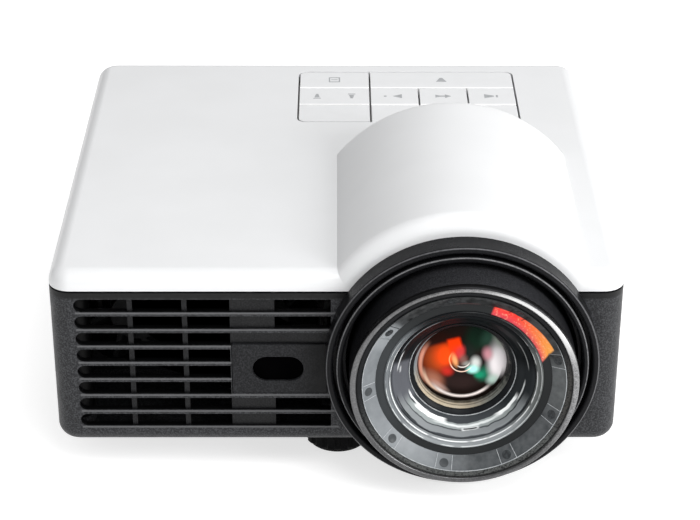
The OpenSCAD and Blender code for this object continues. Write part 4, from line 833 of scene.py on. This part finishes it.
icon("up_icon", "up_key", [[(UP_X - 1.25, ROW_REAR - 1.1), (UP_X + 1.25, ROW_REAR - 1.1),
                            (UP_X + 0.3, ROW_REAR + 1.1), (UP_X - 0.3, ROW_REAR + 1.1)]])
icon("left_icon", "left_key", [
    rectangle(LEFT_X - 2.1, ROW_MID, 0.6, 0.6),
    [(LEFT_X - 0.4, ROW_MID), (LEFT_X + 1.7, ROW_MID - 1.1), (LEFT_X + 1.7, ROW_MID + 1.1)]])
icon("enter_icon", "enter_key", [
    [(ENTER_X - 1.8, ROW_MID - 0.8), (ENTER_X - 0.7, ROW_MID - 0.3),
     (ENTER_X + 0.4, ROW_MID - 0.3), (ENTER_X + 0.4, ROW_MID - 1.0), (ENTER_X + 1.8, ROW_MID),
     (ENTER_X + 0.4, ROW_MID + 1.0), (ENTER_X + 0.4, ROW_MID + 0.3),
     (ENTER_X - 0.7, ROW_MID + 0.3), (ENTER_X - 1.8, ROW_MID + 0.8)]])
icon("right_icon", "right_key", [
    [(RIGHT_X - 1.7, ROW_MID - 1.1), (RIGHT_X + 0.5, ROW_MID - 0.3),
     (RIGHT_X + 0.5, ROW_MID + 0.3), (RIGHT_X - 1.7, ROW_MID + 1.1)],
    rectangle(RIGHT_X + 1.2, ROW_MID, 0.45, 1.2)])

# ---------------------------------------------------------------- floor, light and world

FLOOR_SIDE, FLOOR_FRONT, FLOOR_REAR = 6, -3, 12     # in metres
floor_mesh = bpy.data.meshes.new("floor")
floor_mesh.from_pydata([(x, y, 0) for x, y in (
    (-FLOOR_SIDE, FLOOR_FRONT), (FLOOR_SIDE, FLOOR_FRONT),
    (FLOOR_SIDE, FLOOR_REAR), (-FLOOR_SIDE, FLOOR_REAR))], [], [(0, 1, 2, 3)])
floor = bpy.data.objects.new("floor", floor_mesh)
scene.collection.objects.link(floor)
floor_mesh.materials.append(floor_pale.material)

# a white world that grows brighter upward and to the right
WORLD_LEVEL, WORLD_RISE = 0.38, (0.27, 0.0, 0.5)
world = bpy.data.worlds.new("studio")
world.use_nodes = True
world_nodes, world_links = world.node_tree.nodes, world.node_tree.links
background = world_nodes["Background"]
background.inputs["Color"].default_value = (1, 1, 1, 1)
rise = world_nodes.new("ShaderNodeVectorMath")
rise.operation = "DOT_PRODUCT"
rise.inputs[1].default_value = WORLD_RISE
world_links.new(world_nodes.new("ShaderNodeTexCoord").outputs["Generated"], rise.inputs[0])
level_sum = world_nodes.new("ShaderNodeMath")
level_sum.inputs[1].default_value = WORLD_LEVEL
world_links.new(rise.outputs["Value"], level_sum.inputs[0])
world_links.new(level_sum.outputs[0], background.inputs["Strength"])
scene.world = world


LIGHT_AIM = (0, 0, 0.03)                    # the middle of the case, in metres


def softbox(name, place, size, power):
    """A square soft light at place, aimed at the case, in metres and watts."""
    light = bpy.data.lights.new(name, "AREA")
    light.size = size
    light.energy = power
    lamp = bpy.data.objects.new(name, light)
    scene.collection.objects.link(lamp)
    lamp.visible_camera = False
    lamp.location = place
    direction = Vector(place) - Vector(LIGHT_AIM)
    lamp.rotation_euler = direction.to_track_quat("Z", "Y").to_euler()


softbox("right_key", (0.44, -0.3, 0.26), 0.24, 2.2)
softbox("front_top", (0.13, -0.30, 0.55), 0.26, 1.65)
scene.view_settings.view_transform = "Standard"
